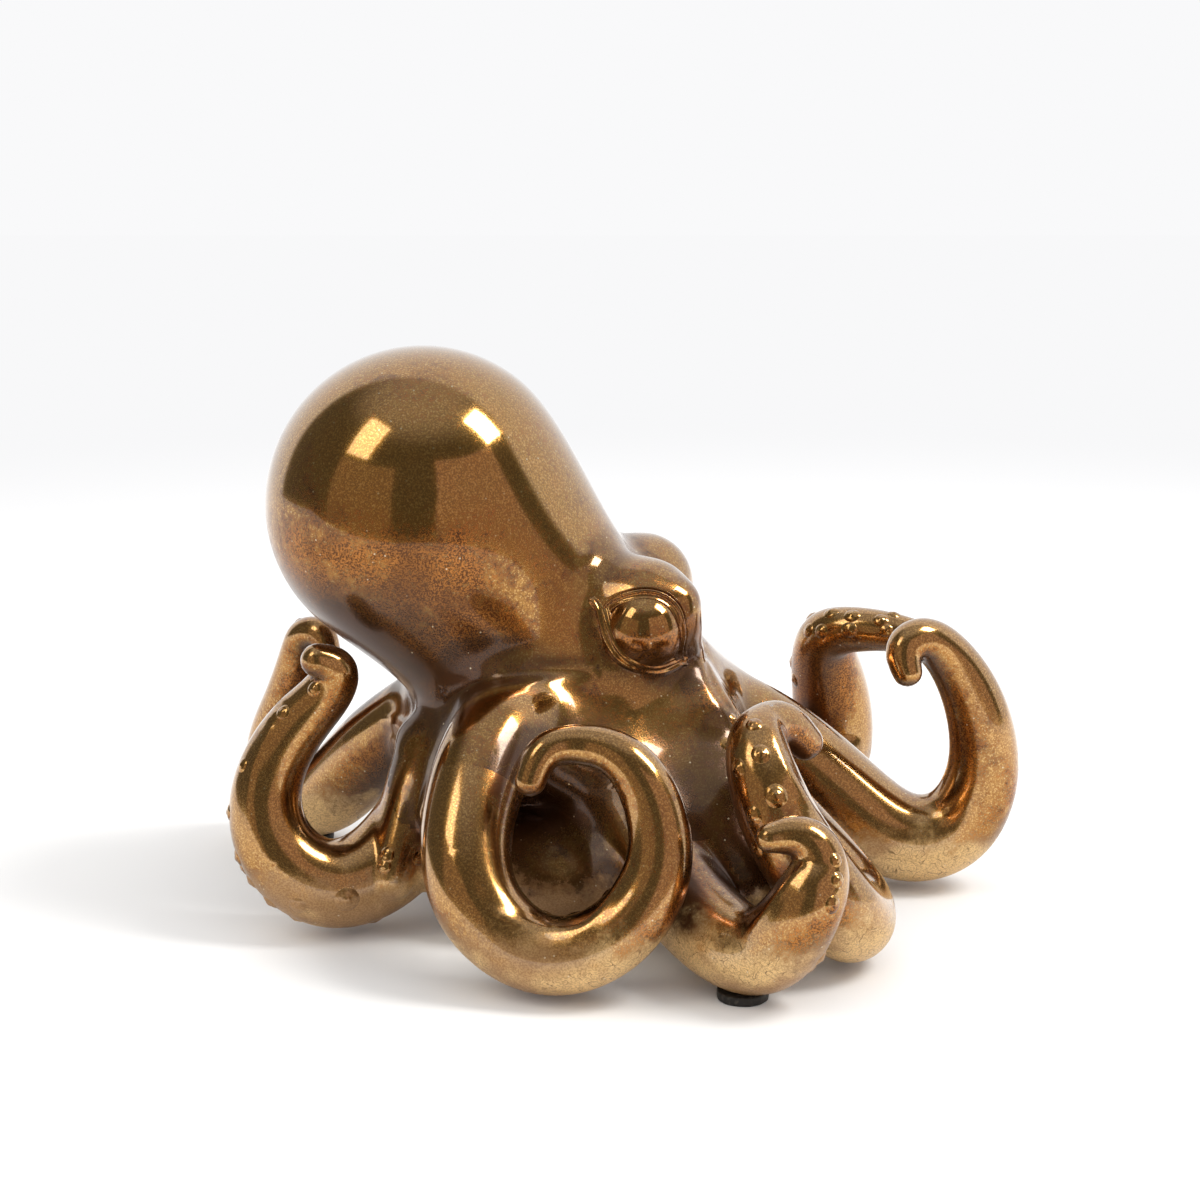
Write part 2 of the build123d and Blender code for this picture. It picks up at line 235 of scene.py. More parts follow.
@dataclass
class Trunk:
    """Belly, head, neck and mantle: ellipses along a line that leans back."""

    belly_height: float = 44.0
    rise: float = 92.5
    offset: float = 51.5
    lean: float = math.radians(51)
    belly_sag: float = 10.0
    dome: float = 51.0
    base_pace: float = 14.0        # how far the line goes in its first step
    top_pace: float = 42.0         # and in its last
    top_turn: float = 0.15         # how much the rings still turn there
    # How far back, up and leaning each ring is, as shares, and its half length and half width
    rings: tuple = (
        (0.00, 0.00, 0.00, 44.0, 35.0),
        (0.02, 0.18, 0.10, 55.0, 43.0),
        (0.16, 0.36, 0.35, 51.0, 40.0),
        (0.44, 0.62, 0.75, 44.5, 40.0),
        (1.00, 1.00, 1.00, 52.0, 51.0),
    )

    def __post_init__(self) -> None:
        """Solves the line of rings."""
        rows = []
        for back, up, lean, length, width in self.rings:
            x, z = HUB[0] - back * self.offset, self.belly_height + up * self.rise
            rows.append((x, z, lean * self.lean, length, width))
        back, up = self.top_pace * math.sin(self.lean), self.top_pace * math.cos(self.lean)
        self.course = Course(rows, start=(0, self.base_pace, 0, 0, 0), end=(-back, up, self.top_turn, 0, 0))
        self.steps = self.course.spread(49)
        self.samples = self.course.at(self.steps)

    def distance(self, points: np.ndarray) -> np.ndarray:
        """Distance to the trunk's skin, closest near the skin itself.

        Args:
            points: places to measure from.
        Returns:
            One distance for each.
        """
        x, z, tilt = self.samples[:, 0], self.samples[:, 1], self.samples[:, 2]
        above = (x - points[:, :1]) * np.sin(tilt) + (points[:, 2:] - z) * np.cos(tilt)
        place = np.clip((above > 0).sum(axis=1) - 1, 0, len(self.steps) - 2)
        pick = np.arange(len(points))
        here, there = above[pick, place], above[pick, place + 1]
        share = np.clip(here / np.where(here == there, 1, here - there), 0, 1)
        step = (place + share) * self.steps[1]
        for done in (False, False, True):
            row = self.course.at(step)
            sine, cosine = np.sin(row[:, 2]), np.cos(row[:, 2])
            back, up = row[:, 0] - points[:, 0], points[:, 2] - row[:, 1]
            over, forward = back * sine + up * cosine, up * sine - back * cosine
            if not done:
                slope = self.course.at(step, 1)
                fall = slope[:, 0] * sine - slope[:, 1] * cosine - forward * slope[:, 2]
                step = np.clip(step - over / np.where(np.abs(fall) < 1, -1, fall), 0, self.steps[-1])
        offsets = np.stack((forward, points[:, 1] - HUB[1], over), axis=1)
        halves = np.stack((row[:, 3], row[:, 4], np.where(over > 0, self.dome, self.belly_sag)), axis=1)
        share = lengths(offsets / halves)
        return share * (share - 1) / np.maximum(lengths(offsets / halves**2), 1e-6)


@dataclass
class ArmPlan:
    """One arm: its line, its suckers and where it is luted to the body."""

    name: str
    bearing: float                 # degrees from the way that the octopus looks
    reach: float
    rise: float
    root: float
    joint: int                     # station of the joint
    padded: bool
    first_sucker: float
    last_sucker: float
    suckers: int
    facing: tuple                  # the way that hidden suckers look
    shares: list                   # out and across as shares of reach, up of rise, girth of root
    spots: list = field(default_factory=list)   # suckers that show, as pixels of the photograph and a size

    foot = 2.4                     # height of the arm's lowest place above the ground
    root_blend = 12.0              # width of the fillet at the arm's root
    slim_blend = 1.0               # and along the arm
    sucker_turn = 24.0             # degrees from the middle of the hidden side to each row of suckers

    def __post_init__(self) -> None:
        """Works out the stations and sets the arm down at foot height."""
        turn = math.radians(self.bearing)
        heading = np.array((math.cos(turn), math.sin(turn), 0))
        left = np.array((-heading[1], heading[0], 0))
        rows = []
        for out, across, up, girth in self.shares:
            place = HUB + heading * out * self.reach + left * across * self.reach
            rows.append((*(place + np.array((0, 0, up * self.rise))), girth * self.root))
        samples = Strand(rows).samples
        lift = self.foot - (samples[:, 2] - samples[:, 3]).min()
        self.strand = Strand([(x, y, z + lift, radius) for x, y, z, radius in rows])

    def blend(self, step: np.ndarray) -> np.ndarray:
        """Width of the fillet where the arm meets the rest; it fades out just past the joint."""
        share = np.clip((self.joint + 1.2 - step) / 1.6, 0, 1)
        return self.slim_blend + (self.root_blend - self.slim_blend) * share * share * (3 - 2 * share)

    def sucker_places(self) -> tuple[np.ndarray, np.ndarray]:
        """Two rows of suckers that look the arm's hidden way.

        Returns:
            A place on the centre line for each sucker, and the direction that it looks.
        """
        steps = np.linspace(self.first_sucker, self.last_sucker, self.suckers)
        rows = self.strand.course.at(steps)
        along = unit(self.strand.course.at(steps, 1)[:, :3])
        facing = np.asarray(self.facing, float)
        facing = unit(facing - along * (along @ facing)[:, None])
        side = np.cross(along, facing)
        turn = np.radians(self.sucker_turn) * np.where(np.arange(self.suckers) % 2, 1, -1)[:, None]
        return rows, facing * np.cos(turn) + side * np.sin(turn)


ARMS = [
    ArmPlan("right_1", -38, 110, 58, 17, 2, False, 4.6, 9.0, 11, (-0.5, -1, 0.2), [
        (0.38, 0.065, 0.73, 1.00), (0.63, 0.065, 0.42, 0.93), (0.83, 0.07, 0.165, 0.87),
        (0.975, 0.035, 0.00, 0.835), (1.045, -0.085, 0.025, 0.805), (1.015, -0.185, 0.25, 0.775),
        (0.93, -0.22, 0.51, 0.735), (0.865, -0.225, 0.73, 0.675), (0.805, -0.19, 0.92, 0.58),
        (0.775, -0.12, 1.00, 0.465), (0.79, -0.04, 1.00, 0.41), (0.82, 0.03, 0.88, 0.34),
    ], [(754, 724, 1.0), (761, 754, 1.15), (738, 768, 1.05), (776, 796, 1.35), (753, 816, 1.1),
        (756, 851, 1.0), (729, 722, 0.85), (726, 745, 0.85)]),
    ArmPlan("right_2", -60, 125, 40, 17, 2, True, 4.2, 6.8, 7, (1, 0.1, 0), [
        (0.165, -0.065, 1.12, 1.00), (0.365, -0.07, 0.76, 0.91), (0.575, -0.065, 0.29, 0.86),
        (0.82, -0.05, 0.00, 0.81), (0.965, -0.005, 0.05, 0.765), (1.05, 0.03, 0.42, 0.665),
        (1.05, 0.07, 0.68, 0.53), (1.035, 0.065, 0.865, 0.425), (1.01, 0.025, 0.95, 0.355),
        (0.995, -0.035, 0.95, 0.26),
    ], [(836, 860, 0.8), (838, 880, 0.9), (833, 905, 1.0), (825, 961, 1.0)]),
    ArmPlan("right_3", -95, 105, 64, 17, 2, False, 3.0, 9.6, 15, (-0.5, 1, 0.5), [
        (0.175, -0.05, 0.80, 1.00), (0.435, -0.165, 0.86, 0.97), (0.66, -0.24, 0.655, 0.88),
        (0.845, -0.235, 0.31, 0.81), (0.92, -0.11, 0.055, 0.755), (0.96, 0.055, 0.00, 0.705),
        (0.955, 0.215, 0.125, 0.665), (0.90, 0.32, 0.39, 0.605), (0.845, 0.305, 0.70, 0.53),
        (0.815, 0.215, 0.905, 0.435), (0.795, 0.10, 0.96, 0.37), (0.825, -0.005, 0.94, 0.33),
        (0.865, -0.05, 0.81, 0.28),
    ]),
    ArmPlan("right_4", -155, 110, 77, 17, 1, False, 2.4, 7.6, 14, (-0.6, -0.4, -0.4), [
        (0.295, 0.005, 0.635, 1.00), (0.465, 0.015, 0.30, 0.94), (0.65, 0.04, 0.05, 0.895),
        (0.835, 0.03, 0.00, 0.845), (0.96, -0.025, 0.155, 0.765), (0.975, -0.065, 0.40, 0.67),
        (0.90, -0.05, 0.635, 0.59), (0.815, -0.01, 0.79, 0.505), (0.785, 0.025, 0.91, 0.425),
        (0.84, 0.03, 0.97, 0.32),
    ], [(225, 812, 1.0), (231, 861, 1.1), (249, 883, 1.0), (263, 910, 1.1), (298, 906, 1.1), (347, 900, 1.5),
        (390, 857, 1.0), (414, 857, 0.9), (387, 867, 0.9), (242, 765, 0.9), (283, 712, 0.9),
        (314, 689, 0.9)]),
    ArmPlan("left_1", 0, 140, 75, 16, 2, False, 4.4, 9.4, 13, (0.4, 1, 0), [
        (0.13, 0.07, 0.72, 1.20), (0.365, 0.11, 0.54, 1.03), (0.535, 0.10, 0.36, 0.98),
        (0.68, 0.07, 0.135, 0.985), (0.805, 0.045, 0.00, 0.96), (0.93, 0.03, 0.065, 0.875),
        (0.99, 0.015, 0.335, 0.76), (0.965, 0.00, 0.64, 0.65), (0.90, -0.02, 0.865, 0.53),
        (0.83, -0.055, 0.975, 0.45), (0.78, -0.085, 0.945, 0.39), (0.785, -0.105, 0.85, 0.31),
    ]),
    ArmPlan("left_2", 45, 140, 60, 16, 2, True, 5.4, 8.6, 11, (-0.4, -0.4, 1), [
        (0.18, -0.02, 0.90, 1.20), (0.43, -0.025, 0.64, 1.05), (0.66, -0.015, 0.19, 1.00),
        (0.865, -0.015, 0.00, 0.985), (0.975, 0.005, 0.14, 0.96), (0.965, 0.005, 0.46, 0.90),
        (0.905, -0.02, 0.74, 0.74), (0.87, -0.08, 0.915, 0.58), (0.905, -0.195, 0.96, 0.48),
        (0.95, -0.285, 0.94, 0.39),
    ], [(831, 612, 1.1), (808, 630, 1.0), (821, 631, 1.0), (852, 615, 1.1), (849, 630, 1.1), (881, 620, 1.0),
        (894, 614, 0.9), (886, 630, 0.9), (794, 680, 1.0)]),
    ArmPlan("left_3", 97, 115, 46, 16, 1, True, 3.6, 7.4, 10, (0, 1, 0.2), [
        (0.27, 0.045, 0.92, 1.00), (0.515, 0.04, 0.36, 0.97), (0.725, 0.045, 0.055, 0.94),
        (0.89, 0.02, 0.00, 0.875), (0.97, -0.075, 0.165, 0.78), (0.96, -0.16, 0.49, 0.69),
        (0.89, -0.16, 0.79, 0.56), (0.84, -0.075, 0.99, 0.44), (0.85, 0.01, 0.965, 0.345),
        (0.87, 0.035, 0.815, 0.28),
    ]),
    ArmPlan("left_4", 150, 125, 67, 16, 1, True, 3.2, 7.4, 11, (-0.5, 1, 0), [
        (0.385, 0.055, 0.67, 1.00), (0.645, 0.02, 0.345, 0.94), (0.835, -0.005, 0.03, 0.885),
        (0.965, -0.005, 0.00, 0.785), (1.01, 0.02, 0.225, 0.66), (0.945, 0.045, 0.535, 0.535),
        (0.885, 0.065, 0.805, 0.425), (0.845, 0.08, 0.935, 0.375), (0.785, 0.09, 0.955, 0.33),
        (0.755, 0.095, 0.865, 0.275),
    ]),
]


# Webs between neighbouring roots: the two arms, the last step, and the radius at three steps
WEBS = [
    ("right_1", "right_2", 2.1, (15.0, 15.0, 13.0)),
    ("right_2", "right_3", 1.1, (13.0, 11.0, 8.0)),
    ("right_3", "right_4", 1.8, (15.0, 12.0, 6.0)),
    ("right_4", "left_4", 0.7, (13.0, 11.0, 9.0)),
    ("left_1", "left_2", 0.7, (13.0, 11.0, 9.0)),
    ("left_2", "left_3", 0.7, (13.0, 11.0, 9.0)),
    ("left_3", "left_4", 0.7, (13.0, 11.0, 9.0)),
]
# Low skirt of the body between the roots of right_4 and right_2: x, y, z and radius
SKIRT = [(-62, -24, 26, 14), (-46, -37, 22, 17), (-24, -43, 22, 18), (0, -46, 26, 16)]
WEB_BLEND = 8.0             # width of the fillet round the webs and the skirt
# Rolls that show, as pixels of the photograph, with radius, how deep they are sunk and how they blend
ROLLS = [
    (((689, 602), (691, 640), (699, 672), (714, 704)), 6.5, 4.0, 6.0),
    (((411, 735), (405, 790), (402, 840), (396, 880)), 8.0, 4.5, 6.0),
]
# Tooled lines that show, as pixels, with depth and half width; a ridge has a depth below zero
TOOLED = [
    (((442, 692), (480, 682), (540, 670), (600, 667)), 1.2, 3.0),
    (((704, 640), (710, 672), (724, 700), (738, 714)), 0.7, 2.0),
    (((684, 652), (690, 663)), 1.0, 2.4),
    (((770, 704), (781, 755), (800, 790), (817, 815)), -0.7, 2.2),
    (((807, 782), (850, 830), (892, 883)), -0.6, 2.2),
    (((742, 938), (770, 905), (800, 866)), -0.7, 2.2),
    (((455, 850), (466, 891), (491, 914), (530, 925), (571, 930), (598, 913), (621, 876), (632, 835),
      (618, 792), (598, 776)), -0.5, 2.4),
    (((300, 655), (268, 730), (252, 782), (256, 830), (272, 867)), -0.5, 2.4),
]


@dataclass(frozen=True)
class Viewpoint:
    """The photograph's camera."""

    place: tuple = (-6.8, -816.6, 285.0)
    target: tuple = (-6.8, 33.4, 95.0)
    sensor: float = 36.0
    lens: float = 74.7

    def axes(self) -> tuple[np.ndarray, np.ndarray, np.ndarray]:
        """The camera's own directions.

        Returns:
            Unit vectors to the right, up and forward.
        """
        forward = unit(np.asarray(self.target) - np.asarray(self.place))
        right = unit(np.cross(forward, (0, 0, 1)))
        return right, np.cross(right, forward), forward

    def rays(self, pixels: np.ndarray) -> np.ndarray:
        """Lines of sight through pixels of the photograph.

        Args:
            pixels: x and y of each, counted from the top left.
        Returns:
            The direction of each line.
        """
        right, up, forward = self.axes()
        focal = PHOTO_SIDE * self.lens / self.sensor
        x = (pixels[:, :1] - PHOTO_SIDE / 2) / focal
        y = (PHOTO_SIDE / 2 - pixels[:, 1:2]) / focal
        return unit(forward + right * x + up * y)

    def met(self, form: Callable, pixels: tuple | np.ndarray, start: float, rounds: int) -> np.ndarray:
        """Places where a form shows at pixels of the photograph.

        Args:
            form: gives the distance to the form at some points.
            pixels: x and y of each, counted from the top left.
            start: how far from the camera the form may begin.
            rounds: how many times each place moves on.
        Returns:
            One place for each pixel.
        """
        place, rays = np.asarray(self.place), self.rays(np.asarray(pixels, float))
        depth = np.full(len(rays), start)
        for _ in range(rounds):
            depth += np.clip(form(place + rays * depth[:, None]), -5, 30) * 0.7
        return place + rays * depth[:, None]

    def build(self) -> None:
        """Makes the camera and gives it to the scene."""
        camera = bpy.data.objects.new("camera", bpy.data.cameras.new("camera"))
        bpy.context.scene.collection.objects.link(camera)
        camera.data.lens = self.lens
        camera.data.sensor_width = self.sensor
        camera.data.clip_end = 50.0
        camera.location = Vector(self.place) * METRE
        camera.rotation_euler = (Vector(self.target) - Vector(self.place)).to_track_quat("-Z", "Y").to_euler()
        bpy.context.scene.camera = camera


VIEW = Viewpoint()
ARMS_BEGIN = 620.0          # the arms begin no nearer to the camera than this
HEAD_BEGINS = 700.0         # nor the head than this


@dataclass
class Crease:
    """A soft groove pressed into the clay along a line, or a ridge where its depth is below zero."""

    points: np.ndarray
    depth: float
    width: float

    def __post_init__(self) -> None:
        """Makes the line that the groove follows; its depth fades towards both ends."""
        self.strand = Strand([(*point, 0.0) for point in self.points], 3)

    def depth_at(self, points: np.ndarray) -> np.ndarray:
        """How much clay the groove takes away.

        Args:
            points: places on or near the skin.
        Returns:
            One depth for each.
        """
        gap, step = self.strand.distance(points)
        last = len(self.strand.rows) - 1
        fade = np.sin(np.pi * np.clip(step / last, 0.0, 1.0)) ** 0.5
        return self.depth * fade * np.exp(-(gap / self.width) ** 2)


@dataclass
class Clay:
    """The whole octopus as one form in clay."""

    trunk: Trunk = field(default_factory=Trunk)
    brow_radius: float = 17.5
    brow_forward: float = 22.5
    brow_height: float = 104.0
    brow_spacing: float = 42.0
    brow_blend: float = 12.0
    rolls: list = field(default_factory=list)      # (strand, blend) added to the trunk
    creases: list = field(default_factory=list)
    trunk_low: tuple = (-150.0, -60.0, 0.0)        # corners of a box that the trunk and brows lie in
    trunk_high: tuple = (40.0, 60.0, 195.0)

    def brow(self, side: Side) -> np.ndarray:
        """Centre of the brow on one side."""
        return HUB + np.array((self.brow_forward, side.value * self.brow_spacing / 2, self.brow_height))

    def distance(self, points: np.ndarray) -> np.ndarray:
        """Distance to the clay's skin, measured in parts so that it fits in memory."""
        parts = [self.part_distance(part) for part in np.array_split(points, len(points) // HANDFUL + 1)]
        return np.concatenate(parts)

    def part_distance(self, points: np.ndarray) -> np.ndarray:
        """Distance to the clay's skin.

        Args:
            points: a modest number of places to measure from.
        Returns:
            One distance for each.
        """
        total = self.trunk.distance(points)
        for side in Side:
            total = joined(total, lengths(points - self.brow(side)) - self.brow_radius, self.brow_blend)
        for strand, blend in self.rolls:
            near = strand.near(points, FILLET_REACH)
            gap, _ = strand.distance(points[near])
            total[near] = joined(total[near], gap, blend)
        for plan in ARMS:
            near = plan.strand.near(points, FILLET_REACH)
            gap, step = plan.strand.distance(points[near])
            total[near] = joined(total[near], gap, plan.blend(step))
        for crease in self.creases:
            near = crease.strand.near(points, 3 * crease.width)
            total[near] += crease.depth_at(points[near])
        return total

    def slope(self, points: np.ndarray) -> np.ndarray:
        """Which way the distance grows fastest at each point, and how fast."""
        return reading(self.distance, points)[1]

    def settle(self, points: np.ndarray, rounds: int = 3) -> np.ndarray:
        """Moves points on to the skin along the shortest way."""
        return settled(self.distance, points, rounds)


def skin_net(values: np.ndarray, origin: np.ndarray) -> tuple[np.ndarray, np.ndarray]:
    """Draws the skin through a grid of distances, one corner in each cell that the skin passes.

    Args:
        values: distance at each grid point.
        origin: place of the first grid point.
    Returns:
        The corners and the four-sided faces, as rows.
    """
    inside = values < 0
    cut = [slice(0, -1), slice(1, None)]
    corners = [(i, j, k) for i in (0, 1) for j in (0, 1) for k in (0, 1)]
    count = sum(inside[cut[i], cut[j], cut[k]].astype(np.int8) for i, j, k in corners)
    active = (count > 0) & (count < 8)
    cells = np.argwhere(active)
    at = {corner: values[tuple((cells + corner).T)] for corner in corners}
    total = np.zeros((len(cells), 3))
    crossings = np.zeros(len(cells))
    for first in corners:
        for axis in range(3):
            if first[axis]:
                continue
            second = tuple(1 if other == axis else first[other] for other in range(3))
            a, b = at[first], at[second]
            crossed = (a < 0) != (b < 0)
            share = np.where(crossed, a / np.where(crossed, a - b, 1), 0)
            place = np.tile(np.asarray(first, float), (len(cells), 1))
            place[:, axis] += share
            total += place * crossed[:, None]
            crossings += crossed
    points = origin + (cells + total / crossings[:, None]) * CELL
    number = np.full(active.shape, -1)
    number[active] = np.arange(len(cells))
    faces = []
    for axis in range(3):
        one, two = [other for other in range(3) if other != axis]
        here, there = [slice(None)] * 3, [slice(None)] * 3
        here[axis], there[axis] = slice(0, -1), slice(1, None)
        changed = inside[tuple(here)] != inside[tuple(there)]
        edges = np.argwhere(changed)
        leaving = inside[tuple(here)][tuple(edges.T)]
        ring = []
        for shift_one, shift_two in ((-1, -1), (0, -1), (0, 0), (-1, 0)):
            cell = edges.copy()
            cell[:, one] += shift_one
            cell[:, two] += shift_two
            ring.append(number[tuple(cell.T)])
        quads = np.stack(ring, axis=1)
        flip = leaving if axis != 1 else ~leaving
        quads[~flip] = quads[~flip][:, ::-1]
        faces.append(quads)
    return points, np.concatenate(faces)


def skin_of(clay: Clay) -> tuple[np.ndarray, np.ndarray]:
    """Draws the clay's skin, measuring every fourth place first and the rest only near the skin.

    Args:
        clay: the form.
    Returns:
        The skin's corners and faces, before they are settled on it.
    """
    low = np.min([plan.strand.low for plan in ARMS] + [clay.trunk_low], axis=0) - 4 * CELL
    high = np.max([plan.strand.high for plan in ARMS] + [clay.trunk_high], axis=0) + 4 * CELL
    coarse = 4
    counts = np.ceil((high - low) / (coarse * CELL)).astype(int) + 1
    axes = [low[axis] + (np.arange(counts[axis]) + 0.375) * coarse * CELL for axis in range(3)]
    rough = np.stack(np.meshgrid(*axes, indexing="ij"), axis=-1)
    far = clay.distance(rough.reshape(-1, 3)).reshape(counts)
    values = far.repeat(coarse, 0).repeat(coarse, 1).repeat(coarse, 2)
    near = np.argwhere(np.abs(values) < 1.2 * coarse * CELL + 1)
    values[tuple(near.T)] = clay.distance(low + near * CELL)
    return skin_net(values, low)


def mesh_object(name: str, corners: list, faces: list, material: bpy.types.Material) -> bpy.types.Object:
    """Makes an object of faces and puts it in the scene.

    Args:
        name: the object's name.
        corners: its corners, in metres.
        faces: corner numbers of each face.
        material: its finish.
    Returns:
        The new object.
    """
    mesh = bpy.data.meshes.new(name)
    mesh.from_pydata(corners, [], faces)
    mesh.update()
    mesh.materials.append(material)
    thing = bpy.data.objects.new(name, mesh)
    bpy.context.scene.collection.objects.link(thing)
    return thing


def new_piece(name: str, corners: np.ndarray, faces: list, material: bpy.types.Material,
              nodes: tuple, normals: np.ndarray | None = None) -> bpy.types.Object:
    """Makes one piece, dresses it and puts it on the frame.

    Args:
        name: the piece's name.
        corners: its corners.
        faces: corner numbers of each face.
        material: its finish.
        nodes: the CAD nodes that it stands for.
        normals: a direction for each corner, where the shading follows the clay and not the faces.
    Returns:
        The new object.
    """
    places = (np.asarray(corners) * METRE).tolist()
    piece = mesh_object(name, places, [list(face) for face in faces], material)
    mesh = piece.data
    mesh.polygons.foreach_set("use_smooth", np.ones(len(mesh.polygons), bool))
    if normals is not None:
        mesh.normals_split_custom_set_from_vertices(normals.tolist())
    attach(piece, "root")
    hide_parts(*nodes)
    LOG.info("%s: %d corners, %d faces", name, len(mesh.vertices), len(mesh.polygons))
    return piece


def mark(piece: bpy.types.Object, name: str, values: np.ndarray) -> None:
    """Stores one number for each corner, for the piece's material to read."""
    layer = piece.data.attributes.new(name, "FLOAT", "POINT")
    layer.data.foreach_set("value", np.asarray(values, np.float32))


def flipped(faces: list) -> list:
    """The same faces looking the other way, with the same corner first."""
    return [face[:1] + face[:0:-1] for face in faces]


def grid_faces(rows: int, wide: int) -> list:
    """Faces of a sheet of corners that are numbered row by row."""
    starts = [row * wide + place for row in range(rows - 1) for place in range(wide - 1)]
    return [(a, a + 1, a + wide + 1, a + wide) for a in starts]


def turned_faces(poles: tuple, first: int, rings: int, around: int) -> list:
    """Faces of a closed form made of rings between two poles.

    Args:
        poles: numbers of the corners at its top and bottom.
        first: number of the first corner of the top ring.
        rings: how many rings there are, one after another.
        around: corners in each ring.
    Returns:
        Corner numbers of each face.
    """
    last = first + (rings - 1) * around
    faces = []
    for a in range(around):
        b = (a + 1) % around
        faces += [(poles[0], first + a, first + b), (poles[1], last + b, last + a)]
        for ring in range(first, last, around):
            faces.append((ring + a, ring + around + a, ring + around + b, ring + b))
    return faces


class Sculpt:
    """The clay's skin as one net of faces, and its parting into body and arms."""

    fillet = 3.6        # how far from an arm the skin that belongs to it can lie
    window = 0.9        # up to how many steps from an arm's joint the joint's plane parts the skin

    def __init__(self, clay: Clay, fine_spots: list) -> None:
        """Draws the skin, refines it near fine work and settles it on the clay.

        Args:
            clay: the form.
            fine_spots: (centre, radius) of places with fine work, such as the eyes.
        """
        self.clay = clay
        points, quads = skin_of(clay)
        self.net = bmesh.new()
        for point in points:
            self.net.verts.new(point)
        self.net.verts.ensure_lookup_table()
        for quad in quads:
            self.net.faces.new([self.net.verts[corner] for corner in quad])
        for centre, radius in fine_spots:
            for shrink in (1.0, 0.85):
                middle, limit = Vector(centre), radius * shrink
                edges = [e for e in self.net.edges if (e.verts[0].co - middle).length < limit
                         and (e.verts[1].co - middle).length < limit]
                bmesh.ops.subdivide_edges(self.net, edges=edges, cuts=1, use_grid_fill=True)
        self.relax(3)
        for plan in ARMS:
            self.cut(plan)
        self.net.verts.index_update()
        self.net.faces.index_update()

    def places(self) -> np.ndarray:
        """Where the net's corners are."""
        self.net.verts.index_update()
        return np.array([vert.co[:] for vert in self.net.verts])

    def relax(self, rounds: int) -> None:
        """Evens out the net and settles it on the clay.

        Args:
            rounds: how many times.
        """
        points = self.places()
        edges = np.array([(edge.verts[0].index, edge.verts[1].index) for edge in self.net.edges])
        weight = np.bincount(edges.ravel(), minlength=len(points))[:, None]
        points = self.clay.settle(points, 1)
        for _ in range(rounds):
            total = np.zeros_like(points)
            for axis in range(3):
                total[:, axis] = (np.bincount(edges[:, 0], points[edges[:, 1], axis], len(points))
                                  + np.bincount(edges[:, 1], points[edges[:, 0], axis], len(points)))
            points = self.clay.settle(points + 0.5 * (total / weight - points), 1)
        points = self.clay.settle(points, 1)
        for vert, point in zip(self.net.verts, points):
            vert.co = point

    def owner(self, centres: np.ndarray) -> tuple[np.ndarray, np.ndarray]:
        """Finds the arm that each place lies on.

        Args:
            centres: the places.
        Returns:
            The arm's number, or -1 where there is none, and the step along it.
        """
        best = np.full(len(centres), self.fillet)
        arm = np.full(len(centres), -1)
        step = np.zeros(len(centres))
        for number, plan in enumerate(ARMS):
            near = np.flatnonzero(plan.strand.near(centres, 8))
            for part in np.array_split(near, len(near) // HANDFUL + 1):
                gap, where = plan.strand.distance(centres[part])
                closer = gap < best[part]
                chosen = part[closer]
                best[chosen], arm[chosen], step[chosen] = gap[closer], number, where[closer]
        return arm, step

    def joint_plane(self, plan: ArmPlan) -> tuple[np.ndarray, np.ndarray]:
        """Centre and direction of the plane in which an arm is luted to the body."""
        step = np.array([float(plan.joint)])
        return plan.strand.course.at(step)[0, :3], unit(plan.strand.course.at(step, 1)[0, :3])

    def cut(self, plan: ArmPlan) -> None:
        """Draws a clean edge round an arm's joint.

        Args:
            plan: the arm.
        """
        centre, along = self.joint_plane(plan)
        reach = 2.0 * plan.root
        faces = [f for f in self.net.faces if (f.calc_center_median() - Vector(centre)).length < reach]
        arm, step = self.owner(np.array([f.calc_center_median()[:] for f in faces]))
        mine = (arm == ARMS.index(plan)) & (np.abs(step - plan.joint) < self.window)
        chosen = [faces[place] for place in np.flatnonzero(mine)]
        edges = {e for f in chosen for e in f.edges}
        verts = {v for f in chosen for v in f.verts}
        bmesh.ops.bisect_plane(self.net, geom=chosen + list(edges) + list(verts), dist=1e-4,
                               plane_co=centre, plane_no=along)

    def part(self) -> np.ndarray:
        """Shares out the skin.

        Returns:
            For each face the number of its arm, or -1 for the body.
        """
        centres = np.array([f.calc_center_median()[:] for f in self.net.faces])
        arm, step = self.owner(centres)
        belongs = np.full(len(centres), -1)
        for number, plan in enumerate(ARMS):
            centre, along = self.joint_plane(plan)
            past = (centres - centre) @ along > 0
            at_joint = np.abs(step - plan.joint) < self.window
            belongs[(arm == number) & np.where(at_joint, past, step > plan.joint)] = number
        return belongs

    def pieces(self) -> dict:
        """Parts the skin, and closes each piece at its joints.

        Returns:
            For each arm's number, and -1 for the body: corners, faces and the direction at each corner.
        """
        belongs = self.part()
        points = self.places()
        normals = unit(self.clay.slope(points))
        result = {}
        for number in range(-1, len(ARMS)):
            piece = self.net.copy()
            piece.faces.ensure_lookup_table()
            drop = [piece.faces[i] for i in np.flatnonzero(belongs != number)]
            source = piece.verts.layers.int.new("source")
            for vert in piece.verts:
                vert[source] = vert.index
            bmesh.ops.delete(piece, geom=drop, context="FACES")
            rim = [edge for edge in piece.edges if edge.is_boundary]
            bmesh.ops.holes_fill(piece, edges=rim, sides=0)
            bmesh.ops.triangulate(piece, faces=[f for f in piece.faces if len(f.verts) > 4])
            piece.verts.index_update()
            kept = np.array([vert[source] for vert in piece.verts])
            faces = [[vert.index for vert in face.verts] for face in piece.faces]
            result[number] = (points[kept], faces, normals[kept])
            piece.free()
        return result


